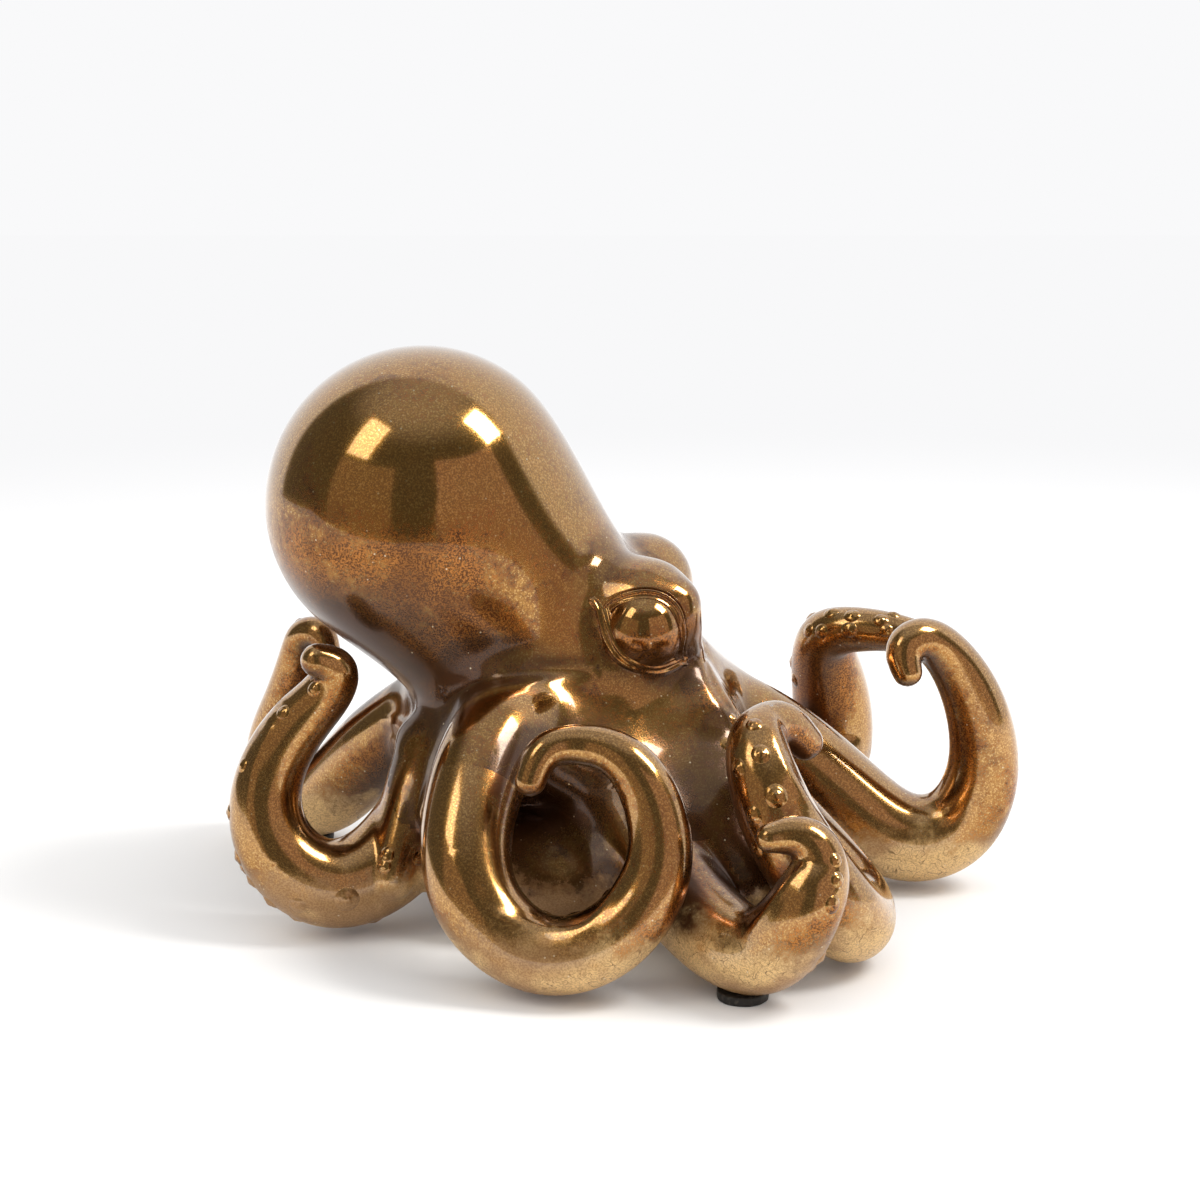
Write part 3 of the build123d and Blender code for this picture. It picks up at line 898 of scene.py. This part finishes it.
def hollowness(clay: Clay, points: np.ndarray, normals: np.ndarray) -> np.ndarray:
    """How deep in a hollow each place lies.

    Args:
        clay: the form.
        points: places on its skin.
        normals: which way the skin looks there.
    Returns:
        0 in the open, and 1 where clay closes in at three of the four reaches.
    """
    total = np.zeros(len(points))
    for reach in (3.0, 8.0, 16.0, 32.0):
        total += np.clip(1 - clay.distance(points + normals * reach) / reach, 0, 1.2)
    return total / 3


def linear(code: str) -> tuple:
    """Linear colour of an sRGB hex code."""
    channels = [int(code[place:place + 2], 16) / 255 for place in (1, 3, 5)]
    return (*(c / 12.92 if c <= 0.04045 else ((c + 0.055) / 1.055) ** 2.4 for c in channels), 1.0)


SUM = {"operation": "MULTIPLY_ADD"}             # settings of the nodes that are used again and again
TIMES = {"operation": "MULTIPLY"}
LARGER = {"operation": "MAXIMUM"}
SOFT = {"interpolation_type": "SMOOTHSTEP"}
COLOURS = {"data_type": "RGBA"}


def add_node(tree: bpy.types.NodeTree, kind: str, settings: dict | None = None, out: str | None = None,
             **links: object) -> bpy.types.NodeSocket | None:
    """Adds a node with its settings and links.

    Args:
        tree: the node tree.
        kind: the node's type, without the ShaderNode before it.
        settings: properties by name.
        out: the output that is wanted, or None for the first in use.
        links: an output socket or a value for an input in use; the name is the input's, with _ for a
            space, or in0, in1 ... for an input by number.
    Returns:
        The wanted output, if the node has any.
    """
    node = tree.nodes.new(f"ShaderNode{kind}")
    for name, value in (settings or {}).items():
        setattr(node, name, value)
    inputs = [socket for socket in node.inputs if socket.enabled]
    for name, value in links.items():
        if name[2:].isdigit():
            socket = inputs[int(name[2:])]
        else:
            socket = next(socket for socket in inputs if socket.name == name.replace("_", " "))
        if isinstance(value, bpy.types.NodeSocket):
            tree.links.new(value, socket)
        else:
            socket.default_value = value
    return next((socket for socket in node.outputs if socket.enabled and out in (None, socket.name)), None)


def per_mm(size: float) -> float:
    """Scale of a pattern whose features are a size in millimetres."""
    return 1000.0 / size


def blank_material(name: str) -> tuple[bpy.types.Material, Callable]:
    """Makes a material with an empty node tree.

    Args:
        name: the material's name.
    Returns:
        The material, and add_node for its tree.
    """
    material = bpy.data.materials.new(name)
    material.use_nodes = True
    material.node_tree.nodes.clear()
    return material, partial(add_node, material.node_tree)


@dataclass(frozen=True)
class LustreGlaze:
    """Bronze lustre over a brown glaze, fired on stoneware.

    The eye sees a thin film of metal with sharp reflections. It settled from above, so it is whole on
    top and thin on the undersides and in the hollows, where brown glaze and orange rust show in a fine
    grain. Near the foot it is dry and tan, with crawl lines. Deep hollows and undersides are darkened
    towards a dark brown, which is painted shade; in the hollows it is partly glaze that pooled there.
    """

    name: str
    film: str = "#be8540"          # the metal film where it is whole
    olive: str = "#ac8842"         # the same where it is thickest
    glint: str = "#ecca92"         # grains of bare metal in the film
    umber: str = "#5f3a1c"         # brown glaze under thin film
    copper: str = "#b27335"        # the grains of film left on it
    rust: str = "#8a4a1e"          # iron that gathers in hollows
    tan: str = "#a98255"           # worn and dry near the foot
    sand: str = "#deb97f"          # the same where the film was rubbed off
    pooled_glaze_and_shade: str = "#2f1d10"        # dark brown of painted shade in deep hollows and on undersides, partly pooled glaze
    crawl: str = "#57391d"         # edge of a crawl line
    pinhole: str = "#d9c8a8"       # dust in a pinhole
    grain: float = 0.6             # the real grain is 0.3 mm, drawn coarser so that it shows
    mottle: float = 2.6
    cloud: float = 9.0
    patch: float = 34.0
    smudge: float = 21.0
    wave: float = 13.0             # slow unevenness of the poured glaze
    crawl_spacing: float = 6.0
    pinhole_spacing: float = 4.5
    shine: float = 0.12            # roughness of whole film
    thinness: float = 0.0          # how much thinner the film is all over
    pool_and_shade_range: tuple = (0.46, 0.96)    # how hollow a place is where the painted shade and pooling start, and where they are full

    def material(self) -> bpy.types.Material:
        """Builds the glaze.

        Returns:
            The material.
        """
        material, add = blank_material(self.name)
        place = add("TexCoord", out="Object")
        height = add("SeparateXYZ", out="Z", Vector=place)
        upward = add("SeparateXYZ", out="Z", Vector=add("NewGeometry", out="Normal"))
        hollow = add("Attribute", {"attribute_name": "hollow"}, out="Fac")
        holes = add("TexVoronoi", Vector=place, Scale=per_mm(self.pinhole_spacing))
        # Noises: the size of their features, detail, roughness and twist
        noises = ((self.patch, 5.0, 0.6, 0.4), (self.cloud, 4.0, 0.6, 0.0), (self.mottle, 3.0, 0.7, 0.0),
                  (self.grain, 2.0, 0.7, 0.0), (self.smudge, 3.0, 0.6, 0.0), (self.wave, 1.0, 0.6, 0.0),
                  (self.crawl_spacing, 1.5, 0.5, 0.6))
        patches, clouds, mottle, grain, smudges, waves, levels = (
            add("TexNoise", Vector=place, Scale=per_mm(size), Detail=detail, Roughness=rough,
                Distortion=twist) for size, detail, rough, twist in noises)
        # Marks: what each follows, where it starts, where it is full, and how strong it is then
        marks = {
            "grains": (grain, 0.45, 0.56, 1.0),
            "browned": (grain, 0.45, 0.56, 0.42),
            "speckled": (grain, 0.45, 0.56, 0.35),
            "glinting": (grain, 0.44, 0.34, 0.4),
            "smudged": (smudges, 0.44, 0.62, 0.5),
            "rusted": (hollow, 0.35, 0.85, 0.65),
            "rubbed": (patches, 0.42, 0.60, 1.0),
            "crawled": (patches, 0.46, 0.56, 1.0),
            "pinholes": (holes, 0.085, 0.045, 0.8),
            # Painted shade: deep hollows, partly glaze that pools there, and undersides that face down
            "pooled_glaze_and_shade": (hollow, *self.pool_and_shade_range, 0.8),
            "shaded": (upward, -0.10, -0.65, 0.78),
            "under": (upward, 0.30, -0.25, 1.0),
            "low": (height, 0.046, 0.008, 0.75),
        }
        drawn = {name: add("MapRange", SOFT, Value=value, From_Min=start, From_Max=full, To_Max=top)
                 for name, (value, start, full, top) in marks.items()}
        # Thin film: undersides, hollows and patches, broken up by mottle and grain
        thin = 0.0
        for value, weight in ((hollow, 0.6), (drawn["under"], 0.5), (patches, 1.5), (clouds, 0.8),
                              (mottle, 1.2), (grain, 0.9)):
            thin = add("Math", SUM, in0=value, in1=weight, in2=thin)
        thin = add("MapRange", SOFT, Value=thin, From_Min=2.27 - self.thinness, From_Max=2.78 - self.thinness)
        # Dry foot: from 45 mm down, in patches
        foot = drawn["low"]
        for value, weight in ((clouds, 0.7), (mottle, 0.4)):
            foot = add("Math", SUM, in0=value, in1=weight, in2=foot)
        foot = add("MapRange", SOFT, Value=foot, From_Min=0.86, From_Max=1.22)
        # Crawl lines: level lines of a slow noise, in patches near the foot
        lines = add("Math", TIMES, in0=levels, in1=12.0)
        lines = add("Math", {"operation": "PINGPONG"}, in0=lines, in1=1.0)
        lines = add("MapRange", SOFT, Value=lines, From_Min=0.12, From_Max=0.02, To_Max=0.75)
        for share in (foot, drawn["crawled"]):
            lines = add("Math", TIMES, in0=lines, in1=share)
        # Whole film, glaze where the film is thin, and dry glaze: a ground and what lies on it
        grounds = []
        for ground, layers in (
                (self.film, ((clouds, self.olive), (drawn["browned"], self.umber),
                             (drawn["glinting"], self.glint))),
                (self.umber, ((drawn["grains"], self.copper), (drawn["smudged"], self.umber),
                              (drawn["rusted"], self.rust))),
                (self.tan, ((drawn["rubbed"], self.sand), (drawn["speckled"], self.umber)))):
            colour = linear(ground)
            for share, layer in layers:
                colour = add("Mix", COLOURS, Factor=share, A=colour, B=linear(layer))
            grounds.append(colour)
        colour, bare, dry = grounds
        # Painted shade: the stronger of the two shade marks darkens the colour towards dark brown
        shade = add("Math", LARGER, in0=drawn["pooled_glaze_and_shade"], in1=drawn["shaded"])
        for share, layer in ((thin, bare), (shade, linear(self.pooled_glaze_and_shade)), (foot, dry),
                             (lines, linear(self.crawl)), (drawn["pinholes"], linear(self.pinhole))):
            colour = add("Mix", COLOURS, Factor=share, A=colour, B=layer)
        rough = self.shine
        for value, weight in ((thin, 0.13), (foot, 0.18)):
            rough = add("Math", SUM, in0=value, in1=weight, in2=rough)
        # Less metal on the dry foot and in the painted shade, and less coat in the painted shade and on
        # undersides
        metal = add("Math", SUM, in0=foot, in1=0.35, in2=shade)
        metal = add("MapRange", Value=metal, From_Max=0.7, To_Min=1.0, To_Max=0.5)
        coat = add("Math", SUM, in0=shade, in1=1.0, in2=drawn["under"])
        coat = add("MapRange", Value=coat, To_Min=1.0, To_Max=0.2)
        relief = add("Math", SUM, in0=thin, in1=0.8, in2=0.2)
        relief = add("Math", TIMES, in0=grain, in1=relief)
        bump = add("Bump", Strength=0.10, Distance=0.0006, Height=waves)
        bump = add("Bump", Strength=0.07, Distance=0.0002, Height=relief, Normal=bump)
        shader = add("BsdfPrincipled", Base_Color=colour, Roughness=rough, Metallic=metal, Normal=bump,
                     Coat_Weight=coat, Coat_IOR=1.6, Coat_Roughness=0.06)
        add("OutputMaterial", Surface=shader)
        return material


@dataclass(frozen=True)
class BumperRubber:
    """Black polyurethane bumper, die-cut and stuck on: matt, with a dusty grey edge."""

    name: str = "bumper_black_rubber"
    black: str = "#17130f"
    dusty: str = "#4a423a"
    dust: float = 1.6              # size of the dusty patches

    def material(self) -> bpy.types.Material:
        """Builds the rubber.

        Returns:
            The material.
        """
        material, add = blank_material(self.name)
        dust = add("TexNoise", Vector=add("TexCoord", out="Object"), Scale=per_mm(self.dust), Detail=4.0)
        dust = add("MapRange", Value=dust, From_Min=0.5, From_Max=0.75)
        colour = add("Mix", COLOURS, Factor=dust, A=linear(self.black), B=linear(self.dusty))
        bump = add("Bump", Strength=0.3, Distance=0.0002, Height=dust)
        add("OutputMaterial", Surface=add("BsdfPrincipled", Base_Color=colour, Roughness=0.6, Normal=bump))
        return material


@dataclass
class Casting:
    """Body and arms, parted from one sculpt."""

    sculpt: Sculpt
    body_finish: bpy.types.Material
    arm_finish: bpy.types.Material

    def build(self) -> None:
        """Makes the body's piece and one piece for each arm."""
        for number, (corners, faces, normals) in self.sculpt.pieces().items():
            node, finish, slot = "body", self.body_finish, Slot.BODY
            if number >= 0:
                node, finish, slot = f"arm_{ARMS[number].name}", self.arm_finish, Slot.ARM
            piece = new_piece(f"{node}_casting", corners, faces, finish, (node,), normals)
            # How hollow each place is: the glaze reads it for rust, thin film and painted shade in the
            # hollows
            mark(piece, "hollow", hollowness(self.sculpt.clay, corners, normals))


@dataclass
class Suckers:
    """Sprigged suckers of one arm: low soft rings with a nub, flowing into the arm."""

    plan: ArmPlan
    clay: Clay
    finish: bpy.types.Material
    radius: float = 3.5
    taper: float = 0.3             # how much smaller the last sucker is than the first
    sunk: float = 1.2              # how deep the rim lies in the arm
    keel: float = 1.8              # and the middle
    # Height over the arm's skin at each share of the radius, as a share of the radius
    profile: tuple = ((0, 0.30), (0.14, 0.288), (0.27, 0.245), (0.38, 0.197), (0.48, 0.168), (0.58, 0.155),
                      (0.68, 0.125), (0.79, 0.07), (0.9, 0.018), (1, -0.03))
    around: int = 24

    def sighted(self, pixels: np.ndarray) -> np.ndarray:
        """Places on the arm that show at pixels, or lie nearest to the line of sight.

        Args:
            pixels: x and y of each.
        Returns:
            One place for each pixel.
        """
        rays = VIEW.rays(pixels)
        depth = np.full(len(rays), ARMS_BEGIN)
        best = np.full(len(rays), 1e9)
        places = np.zeros((len(rays), 3))
        for _ in range(140):
            points = np.asarray(VIEW.place) + rays * depth[:, None]
            gap, _ = self.plan.strand.distance(points)
            closer = gap < best
            best[closer], places[closer] = gap[closer], points[closer]
            depth += np.where(gap > 0.05, np.clip(gap, 0.4, 30) * 0.8, 0)
        return places

    def feet(self) -> tuple[np.ndarray, np.ndarray]:
        """Where the suckers stand on the skin, and how large they are.

        Returns:
            A place and a radius for each sucker.
        """
        rows, looks = self.plan.sucker_places()
        sizes = self.radius * (1 - self.taper * np.linspace(0, 1, len(rows)))
        feet = self.clay.settle(rows[:, :3] + looks * rows[:, 3:], 3)
        if self.plan.spots:
            turned = (unit(self.clay.slope(feet)) * unit(np.asarray(VIEW.place) - feet)).sum(axis=1) < -0.1
            spots = np.array(self.plan.spots)
            shown = self.clay.settle(self.sighted(spots[:, :2]), 3)
            feet = np.concatenate((shown, feet[turned]))
            sizes = np.concatenate((spots[:, 2] * self.radius * (1 - self.taper / 2), sizes[turned]))
        return feet, sizes

    def build(self) -> bpy.types.Object:
        """Makes all suckers of the arm as one piece.

        Returns:
            The piece.
        """
        feet, sizes = self.feet()
        count = len(feet)
        normals = unit(self.clay.slope(feet))
        side = unit(np.cross(normals, (0.31, 0.2, 0.93)))
        up = np.cross(normals, side)
        angle = np.arange(self.around) * 2 * np.pi / self.around
        circle = side[:, None] * np.cos(angle)[None, :, None] + up[:, None] * np.sin(angle)[None, :, None]
        layers = [feet[:, None]]
        heights = [np.full((count, 1), self.profile[0][1]) * sizes[:, None]]
        for share, height in self.profile[1:]:
            layers.append(feet[:, None] + circle * (share * sizes)[:, None, None])
            heights.append(np.full((count, self.around), height) * sizes[:, None])
        flat = self.clay.settle(np.concatenate(layers, axis=1).reshape(-1, 3), 2)
        out = unit(self.clay.slope(flat))
        top = (flat + out * np.concatenate(heights, axis=1).reshape(-1, 1)).reshape(count, -1, 3)
        base = (flat - out * self.sunk).reshape(count, -1, 3)[:, -self.around:]
        keel = feet[:, None] - normals[:, None] * self.keel
        corners = np.concatenate((top, base, keel), axis=1)
        each = corners.shape[1]
        corners = corners.reshape(-1, 3)
        faces = []
        for start in range(0, len(corners), each):
            faces += turned_faces((start, start + each - 1), start + 1, len(self.profile), self.around)
        node = f"suckers_{self.plan.name}"
        piece = new_piece(f"{node}_sprigged", corners, faces, self.finish, (node,))
        mark(piece, "hollow", np.full(len(corners), 0.2))
        return piece


@dataclass
class Eye:
    """One eye: a glazed ball and the two lids round it."""

    side: Side
    clay: Clay
    finish: bpy.types.Material
    lid_finish: bpy.types.Material
    radius: float = 13.5
    stand_out: float = 9.5
    back: float = 0.2
    drop: float = 3.6
    fillet: float = 3.2
    fine_reach: float = 22.0       # how far round the eye the skin is drawn finer
    lid_sunk: float = 0.3          # how deep a lid's flat parts lie in the skin
    lid_depth: float = 1.5         # how deep its underside lies
    lid_rows: int = 64
    lid_wide: int = 21
    # Lids of the right eye, as pixels of the photograph
    upper_line: tuple = ((602, 607), (608, 601), (617, 596), (630, 592), (644, 590), (659, 592), (671, 598),
                         (680, 608), (684, 621), (685, 636), (683, 648), (685, 658))
    lower_line: tuple = ((590, 599), (597, 608), (601, 620), (606, 634), (613, 648), (624, 660), (638, 667),
                         (655, 670), (668, 668), (679, 664), (687, 665))

    def centre(self) -> np.ndarray:
        """Centre of the ball."""
        outward = self.side.value * self.stand_out
        return self.clay.brow(self.side) + np.array((-self.back, outward, -self.drop))

    def surface(self, points: np.ndarray) -> np.ndarray:
        """Distance to the skin of head and ball together."""
        return joined(self.clay.distance(points), lengths(points - self.centre()) - self.radius, self.fillet)

    def ball(self) -> bpy.types.Object:
        """Makes the eyeball from a rounded cube, so that its faces are even.

        Returns:
            The ball.
        """
        net = bmesh.new()
        bmesh.ops.create_cube(net, size=2)
        bmesh.ops.subdivide_edges(net, edges=net.edges[:], cuts=23, use_grid_fill=True)
        net.verts.index_update()
        corners = np.array([vert.co[:] for vert in net.verts])
        corners = unit(np.tan(corners * math.pi / 4))
        faces = [[vert.index for vert in face.verts] for face in net.faces]
        net.free()
        node = f"{self.side.name.lower()}_eyeball"
        piece = new_piece(f"{node}_glazed", self.centre() + corners * self.radius, faces, self.finish,
                          (node,), corners)
        # The ball's hollow value grows from 0 at its top to 0.7 at its bottom, so its glaze turns darker and
        # rustier towards the bottom
        mark(piece, "hollow", np.clip(0.35 - 0.35 * corners[:, 2], 0, 1))
        return piece

    def band(self, line: tuple, width: float) -> tuple[np.ndarray, np.ndarray]:
        """Lays a band on head and ball, which a lid is then raised on.

        Args:
            line: the band's middle line, as pixels of the photograph.
            width: half width of the band.
        Returns:
            The band's places, row by row along it, and the directions that the skin looks there.
        """
        right = Eye(Side.RIGHT, self.clay, self.finish, self.lid_finish)
        middle = VIEW.met(right.surface, line, HEAD_BEGINS, 80)
        if self.side is Side.LEFT:
            middle[:, 1] = 2 * HUB[1] - middle[:, 1]
        course = Course(middle)
        steps = course.spread(self.lid_rows)
        middle, along = course.at(steps), unit(course.at(steps, 1))
        across = unit(np.cross(along, unit(middle - self.centre())))
        offsets = np.linspace(-1, 1, self.lid_wide) * width
        points = middle[:, None] + across[:, None] * offsets[None, :, None]
        points = settled(self.surface, points.reshape(-1, 3), 4, 1.0).reshape(points.shape)
        for _ in range(6):
            points[1:-1] = (points[:-2] + 2 * points[1:-1] + points[2:]) / 4
        points = points.reshape(-1, 3)
        return points, unit(reading(self.surface, points, 0.6)[1])

    def lid(self, name: str, line: tuple, width: float, ridges: tuple) -> bpy.types.Object:
        """Makes one lid, a raised band that flows into the head.

        Args:
            name: upper or lower.
            line: the band's middle line, as pixels of the photograph.
            width: half width of the band.
            ridges: (place across, height, half width) of each ridge on it.
        Returns:
            The lid.
        """
        flat, normals = self.band(line, width)
        taper = np.sin(np.pi * np.linspace(0.03, 0.97, self.lid_rows)) ** 0.45
        places = np.linspace(-1, 1, self.lid_wide) * width
        height = np.full((self.lid_rows, self.lid_wide), -self.lid_sunk)
        for place, tall, half in ridges:
            height += tall * np.exp(-((places[None, :] - place) / half) ** 2) * taper[:, None]
        corners = np.concatenate((flat + normals * height.reshape(-1, 1), flat - normals * self.lid_depth))
        below = len(flat)
        sheet = grid_faces(self.lid_rows, self.lid_wide)
        faces = flipped(sheet) + [tuple(corner + below for corner in face) for face in sheet]
        number = np.arange(below).reshape(self.lid_rows, self.lid_wide)
        rim = np.concatenate((number[:, 0], number[-1, 1:], number[-2::-1, -1], number[0, -2:0:-1])).tolist()
        faces += [(a, a + below, b + below, b) for a, b in zip(rim, rim[1:] + rim[:1])]
        if self.side is Side.RIGHT:
            faces = [face[::-1] for face in faces]
        node = f"{self.side.name.lower()}_{name}"
        piece = new_piece(f"{node}_lid_modelled", corners, faces, self.lid_finish,
                          (f"{node}_eyelid",))
        mark(piece, "hollow", np.full(len(corners), 0.1))
        return piece

    def build(self) -> None:
        """Makes the ball and both lids."""
        self.ball()
        self.lid("upper", self.upper_line, 3.4, ((-0.75, 1.6, 0.5), (0.85, 1.8, 0.6)))
        self.lid("lower", self.lower_line, 4.6, ((-2.3, 0.9, 0.6), (-0.1, 2.3, 1.5)))


@dataclass
class Bumper:
    """Stick-on rubber foot under one arm."""

    plan: ArmPlan
    finish: bpy.types.Material
    radius: float = 8.0
    height: float = 3.0
    around: int = 56
    # Share of the radius and of the height at each ring
    profile: tuple = ((0.45, 0.0), (0.93, 0.0), (0.985, 0.10), (1.0, 0.3), (1.0, 0.85), (0.985, 0.97),
                      (0.95, 1.0), (0.45, 1.0))

    def build(self) -> bpy.types.Object:
        """Makes the disc, with a rounded lower edge and a slightly ragged cut.

        Returns:
            The piece.
        """
        samples = self.plan.strand.samples
        low = samples[(samples[:, 2] - samples[:, 3]).argmin()]
        angle = np.arange(self.around) * 2 * np.pi / self.around
        ragged = 1 + 0.010 * np.sin(5 * angle + 1) + 0.006 * np.sin(13 * angle)
        corners = [(low[0], low[1], 0.0), (low[0], low[1], self.height)]
        for share, up in self.profile:
            reach = self.radius * share * ragged
            corners.extend(zip(low[0] + reach * np.cos(angle), low[1] + reach * np.sin(angle),
                               np.full(self.around, up * self.height)))
        faces = flipped(turned_faces((0, 1), 2, len(self.profile), self.around))
        return new_piece(f"bumper_{self.plan.name}", np.array(corners), faces, self.finish,
                         (f"pad_{self.plan.name}",))


@dataclass
class Studio:
    """White table, soft boxes and the dark room behind the camera; lengths here are metres."""

    table_half: float = 3.0
    table_front: float = -0.40
    table_fade: tuple = (0.25, 1.1)            # where the table top starts to run out into white, and ends
    key_power: float = 25.0
    fill_power: float = 5.0
    daylight: float = 1.12                     # of the white room on the table
    dark_side: tuple = (-0.31, -1.0, 0.12)     # the room's unlit side, which the glaze mirrors
    wall_away: float = 2.6
    wall_middle: float = 0.14                  # height that the walls stand round
    wall_grid: tuple = (12, 6)                 # corners along a wall and up it
    white: str = "#f9f9fa"
    unlit: str = "#6a6555"

    def table(self) -> None:
        """Makes the pale table top, which runs out into the white background."""
        material, add = blank_material("table_matt_white_laminate")
        fade = add("VectorMath", {"operation": "LENGTH"}, in0=add("TexCoord", out="Object"))
        fade = add("MapRange", SOFT, Value=fade, From_Min=self.table_fade[0], From_Max=self.table_fade[1])
        fade = add("Math", TIMES, in0=fade, in1=add("LightPath", out="Is Camera Ray"))
        top = add("BsdfDiffuse", Color=linear("#e9e9ea"))
        glow = add("Emission", Color=linear("#f8f8f9"), Strength=1.0)
        add("OutputMaterial", Surface=add("MixShader", in0=fade, in1=top, in2=glow))
        half, front = self.table_half, self.table_front
        corners = [(-half, front, 0), (half, front, 0), (half, half, 0), (-half, half, 0)]
        mesh_object("table_top", corners, [(0, 1, 2, 3)], material)

    def wall(self, name: str, turns: tuple, heights: tuple, colour: str) -> None:
        """Stands up one part of the unlit room, which only the glaze mirrors.

        Args:
            name: the wall's name.
            turns: where it starts and ends, in degrees round from the photograph's side.
            heights: its lowest and highest place, in degrees over the table.
            colour: how light it is.
        """
        material, add = blank_material(name)
        add("OutputMaterial", Surface=add("Emission", Color=linear(colour), Strength=1.0))
        away, across, up = self.wall_away, *self.wall_grid
        corners = []
        for turn in np.radians(np.linspace(*turns, across)):
            for rise in np.radians(np.linspace(*heights, up)):
                out, height = away * math.cos(rise), away * math.sin(rise)
                corners.append((out * math.sin(turn), -out * math.cos(turn), height + self.wall_middle))
        wall = mesh_object(name, corners, grid_faces(across, up), material)
        wall.visible_camera = wall.visible_diffuse = wall.visible_shadow = False

    def lamp(self, name: str, place: tuple, size: tuple, power: float, tint: str) -> None:
        """Hangs one soft box that looks at the octopus.

        Args:
            name: the lamp's name.
            place: where it hangs.
            size: its width and height.
            power: its power in watts.
            tint: its colour.
        """
        data = bpy.data.lights.new(name, "AREA")
        data.shape = "RECTANGLE"
        data.size, data.size_y = size
        data.color = linear(tint)[:3]
        data.energy = power
        lamp = bpy.data.objects.new(name, data)
        lamp.location = place
        lamp.rotation_euler = (Vector(place) - Vector((0, 0, 0.08))).to_track_quat("Z", "Y").to_euler()
        bpy.context.scene.collection.objects.link(lamp)

    def room(self) -> None:
        """Lights the room: white to the eye, and in the metal a white sweep behind and a dark room before."""
        world = bpy.data.worlds.new("room")
        bpy.context.scene.world = world
        world.use_nodes = True
        world.node_tree.nodes.clear()
        add = partial(add_node, world.node_tree)
        camera, glossy, through = (
            add("LightPath", out=f"Is {ray} Ray") for ray in ("Camera", "Glossy", "Transmission"))
        mirrored = add("Math", LARGER, in0=glossy, in1=through)
        shown = add("Math", LARGER, in0=mirrored, in1=camera)
        way = add("TexCoord", out="Generated")
        dark = add("VectorMath", {"operation": "DOT_PRODUCT"}, in0=way, in1=self.dark_side)
        dark = add("MapRange", SOFT, Value=dark, From_Min=-0.27, From_Max=-0.17)
        dark = add("Math", TIMES, in0=dark, in1=mirrored)
        ceiling = add("SeparateXYZ", out="Z", Vector=way)
        ceiling = add("MapRange", SOFT, Value=ceiling, From_Min=0.72, To_Max=0.5)
        unlit = add("Mix", COLOURS, Factor=ceiling, A=linear(self.unlit), B=linear(self.white))
        day, white, night = (
            add("Background", Color=colour, Strength=strength) for colour, strength in (
                (linear("#ffffff"), self.daylight), (linear(self.white), 1.0), (unlit, 1.0)))
        both = add("MixShader", in0=shown, in1=day, in2=white)
        add("OutputWorld", Surface=add("MixShader", in0=dark, in1=both, in2=night))

    def build(self) -> None:
        """Sets up the table, the lamps and the walls."""
        bpy.context.scene.view_settings.view_transform = "Standard"
        self.table()
        self.room()
        self.lamp("soft_box_right", (1.25, -0.25, 1.7), (0.55, 0.8), self.key_power, "#fffdf8")
        self.lamp("soft_box_left", (-1.1, -0.75, 1.55), (0.6, 0.85), self.fill_power, "#fff6e0")
        self.wall("brown_wall_left", (-68, -19), (-22, 32), "#a4927a")
        self.wall("brown_wall_right", (14, 70), (-22, 38), "#bfa898")


def web(first: str, second: str, last: float, radii: tuple) -> Strand:
    """A roll of clay laid between the roots of two arms.

    Args:
        first: name of one arm.
        second: name of the other.
        last: the step along both at which the roll ends.
        radii: its radius at three steps.
    Returns:
        The roll.
    """
    steps = np.linspace(0.3, last, len(radii))
    lines = [plan.strand.course.at(steps)[:, :3] for plan in ARMS if plan.name in (first, second)]
    return Strand([(*place, radius) for place, radius in zip(sum(lines) / 2, radii)])


def modelled_clay() -> Clay:
    """The clay with its hand work: webs between the roots, rolls pressed on and lines tooled in.

    Returns:
        The finished form.
    """
    clay = Clay()
    clay.rolls = [(strand, WEB_BLEND) for strand in [web(*line) for line in WEBS] + [Strand(SKIRT)]]

    def traced(pixels: tuple) -> np.ndarray:
        """A line on the clay, in short steps so that it hugs the skin.

        Args:
            pixels: where it shows in the photograph.
        Returns:
            Places along it.
        """
        course = Course(pixels)
        places = VIEW.met(clay.distance, course.at(course.spread(5 * len(pixels) - 4)), ARMS_BEGIN, 90)
        met = np.abs(clay.distance(places)) < 0.5
        LOG.info("line from %s: %d of %d places on the clay", pixels[0], met.sum(), len(met))
        return places[met]

    pressed = []
    for pixels, radius, sunk, blend in ROLLS:
        places = traced(pixels)
        places = places - unit(clay.slope(places)) * sunk
        pressed.append((Strand([(*place, radius) for place in places], 3), blend))
    clay.rolls.extend(pressed)
    clay.creases = [Crease(traced(pixels), depth, width) for pixels, depth, width in TOOLED]
    return clay


def main() -> None:
    """Builds the octopus piece by piece, and the studio round it."""
    logging.basicConfig(level=logging.INFO, format="%(message)s")
    VIEW.build()
    Studio().build()
    clay = modelled_clay()
    # The body's painted shade starts in shallower hollows than the arms', so its cavities and creases render
    # darker
    body_glaze = LustreGlaze("bronze_lustre_glaze_body", thinness=0.10, pool_and_shade_range=(0.12, 0.42)).material()
    arm_glaze = LustreGlaze("bronze_lustre_glaze_arms", film="#c58e4e", olive="#b08a4c",
                            shine=0.18).material()
    sucker_glaze = LustreGlaze("bronze_lustre_glaze_suckers", shine=0.18).material()
    eye_glaze = LustreGlaze("bronze_lustre_glaze_eyes", shine=0.10).material()
    eyes = [Eye(side, clay, eye_glaze, body_glaze) for side in Side]
    sculpt = Sculpt(clay, [(eye.centre(), eye.fine_reach) for eye in eyes])
    Casting(sculpt, body_glaze, arm_glaze).build()
    for eye in eyes:
        eye.build()
    for plan in ARMS:
        Suckers(plan, clay, sucker_glaze).build()
    rubber = BumperRubber().material()
    for plan in ARMS:
        if plan.padded:
            Bumper(plan, rubber).build()


if __name__ == "__main__":
    main()
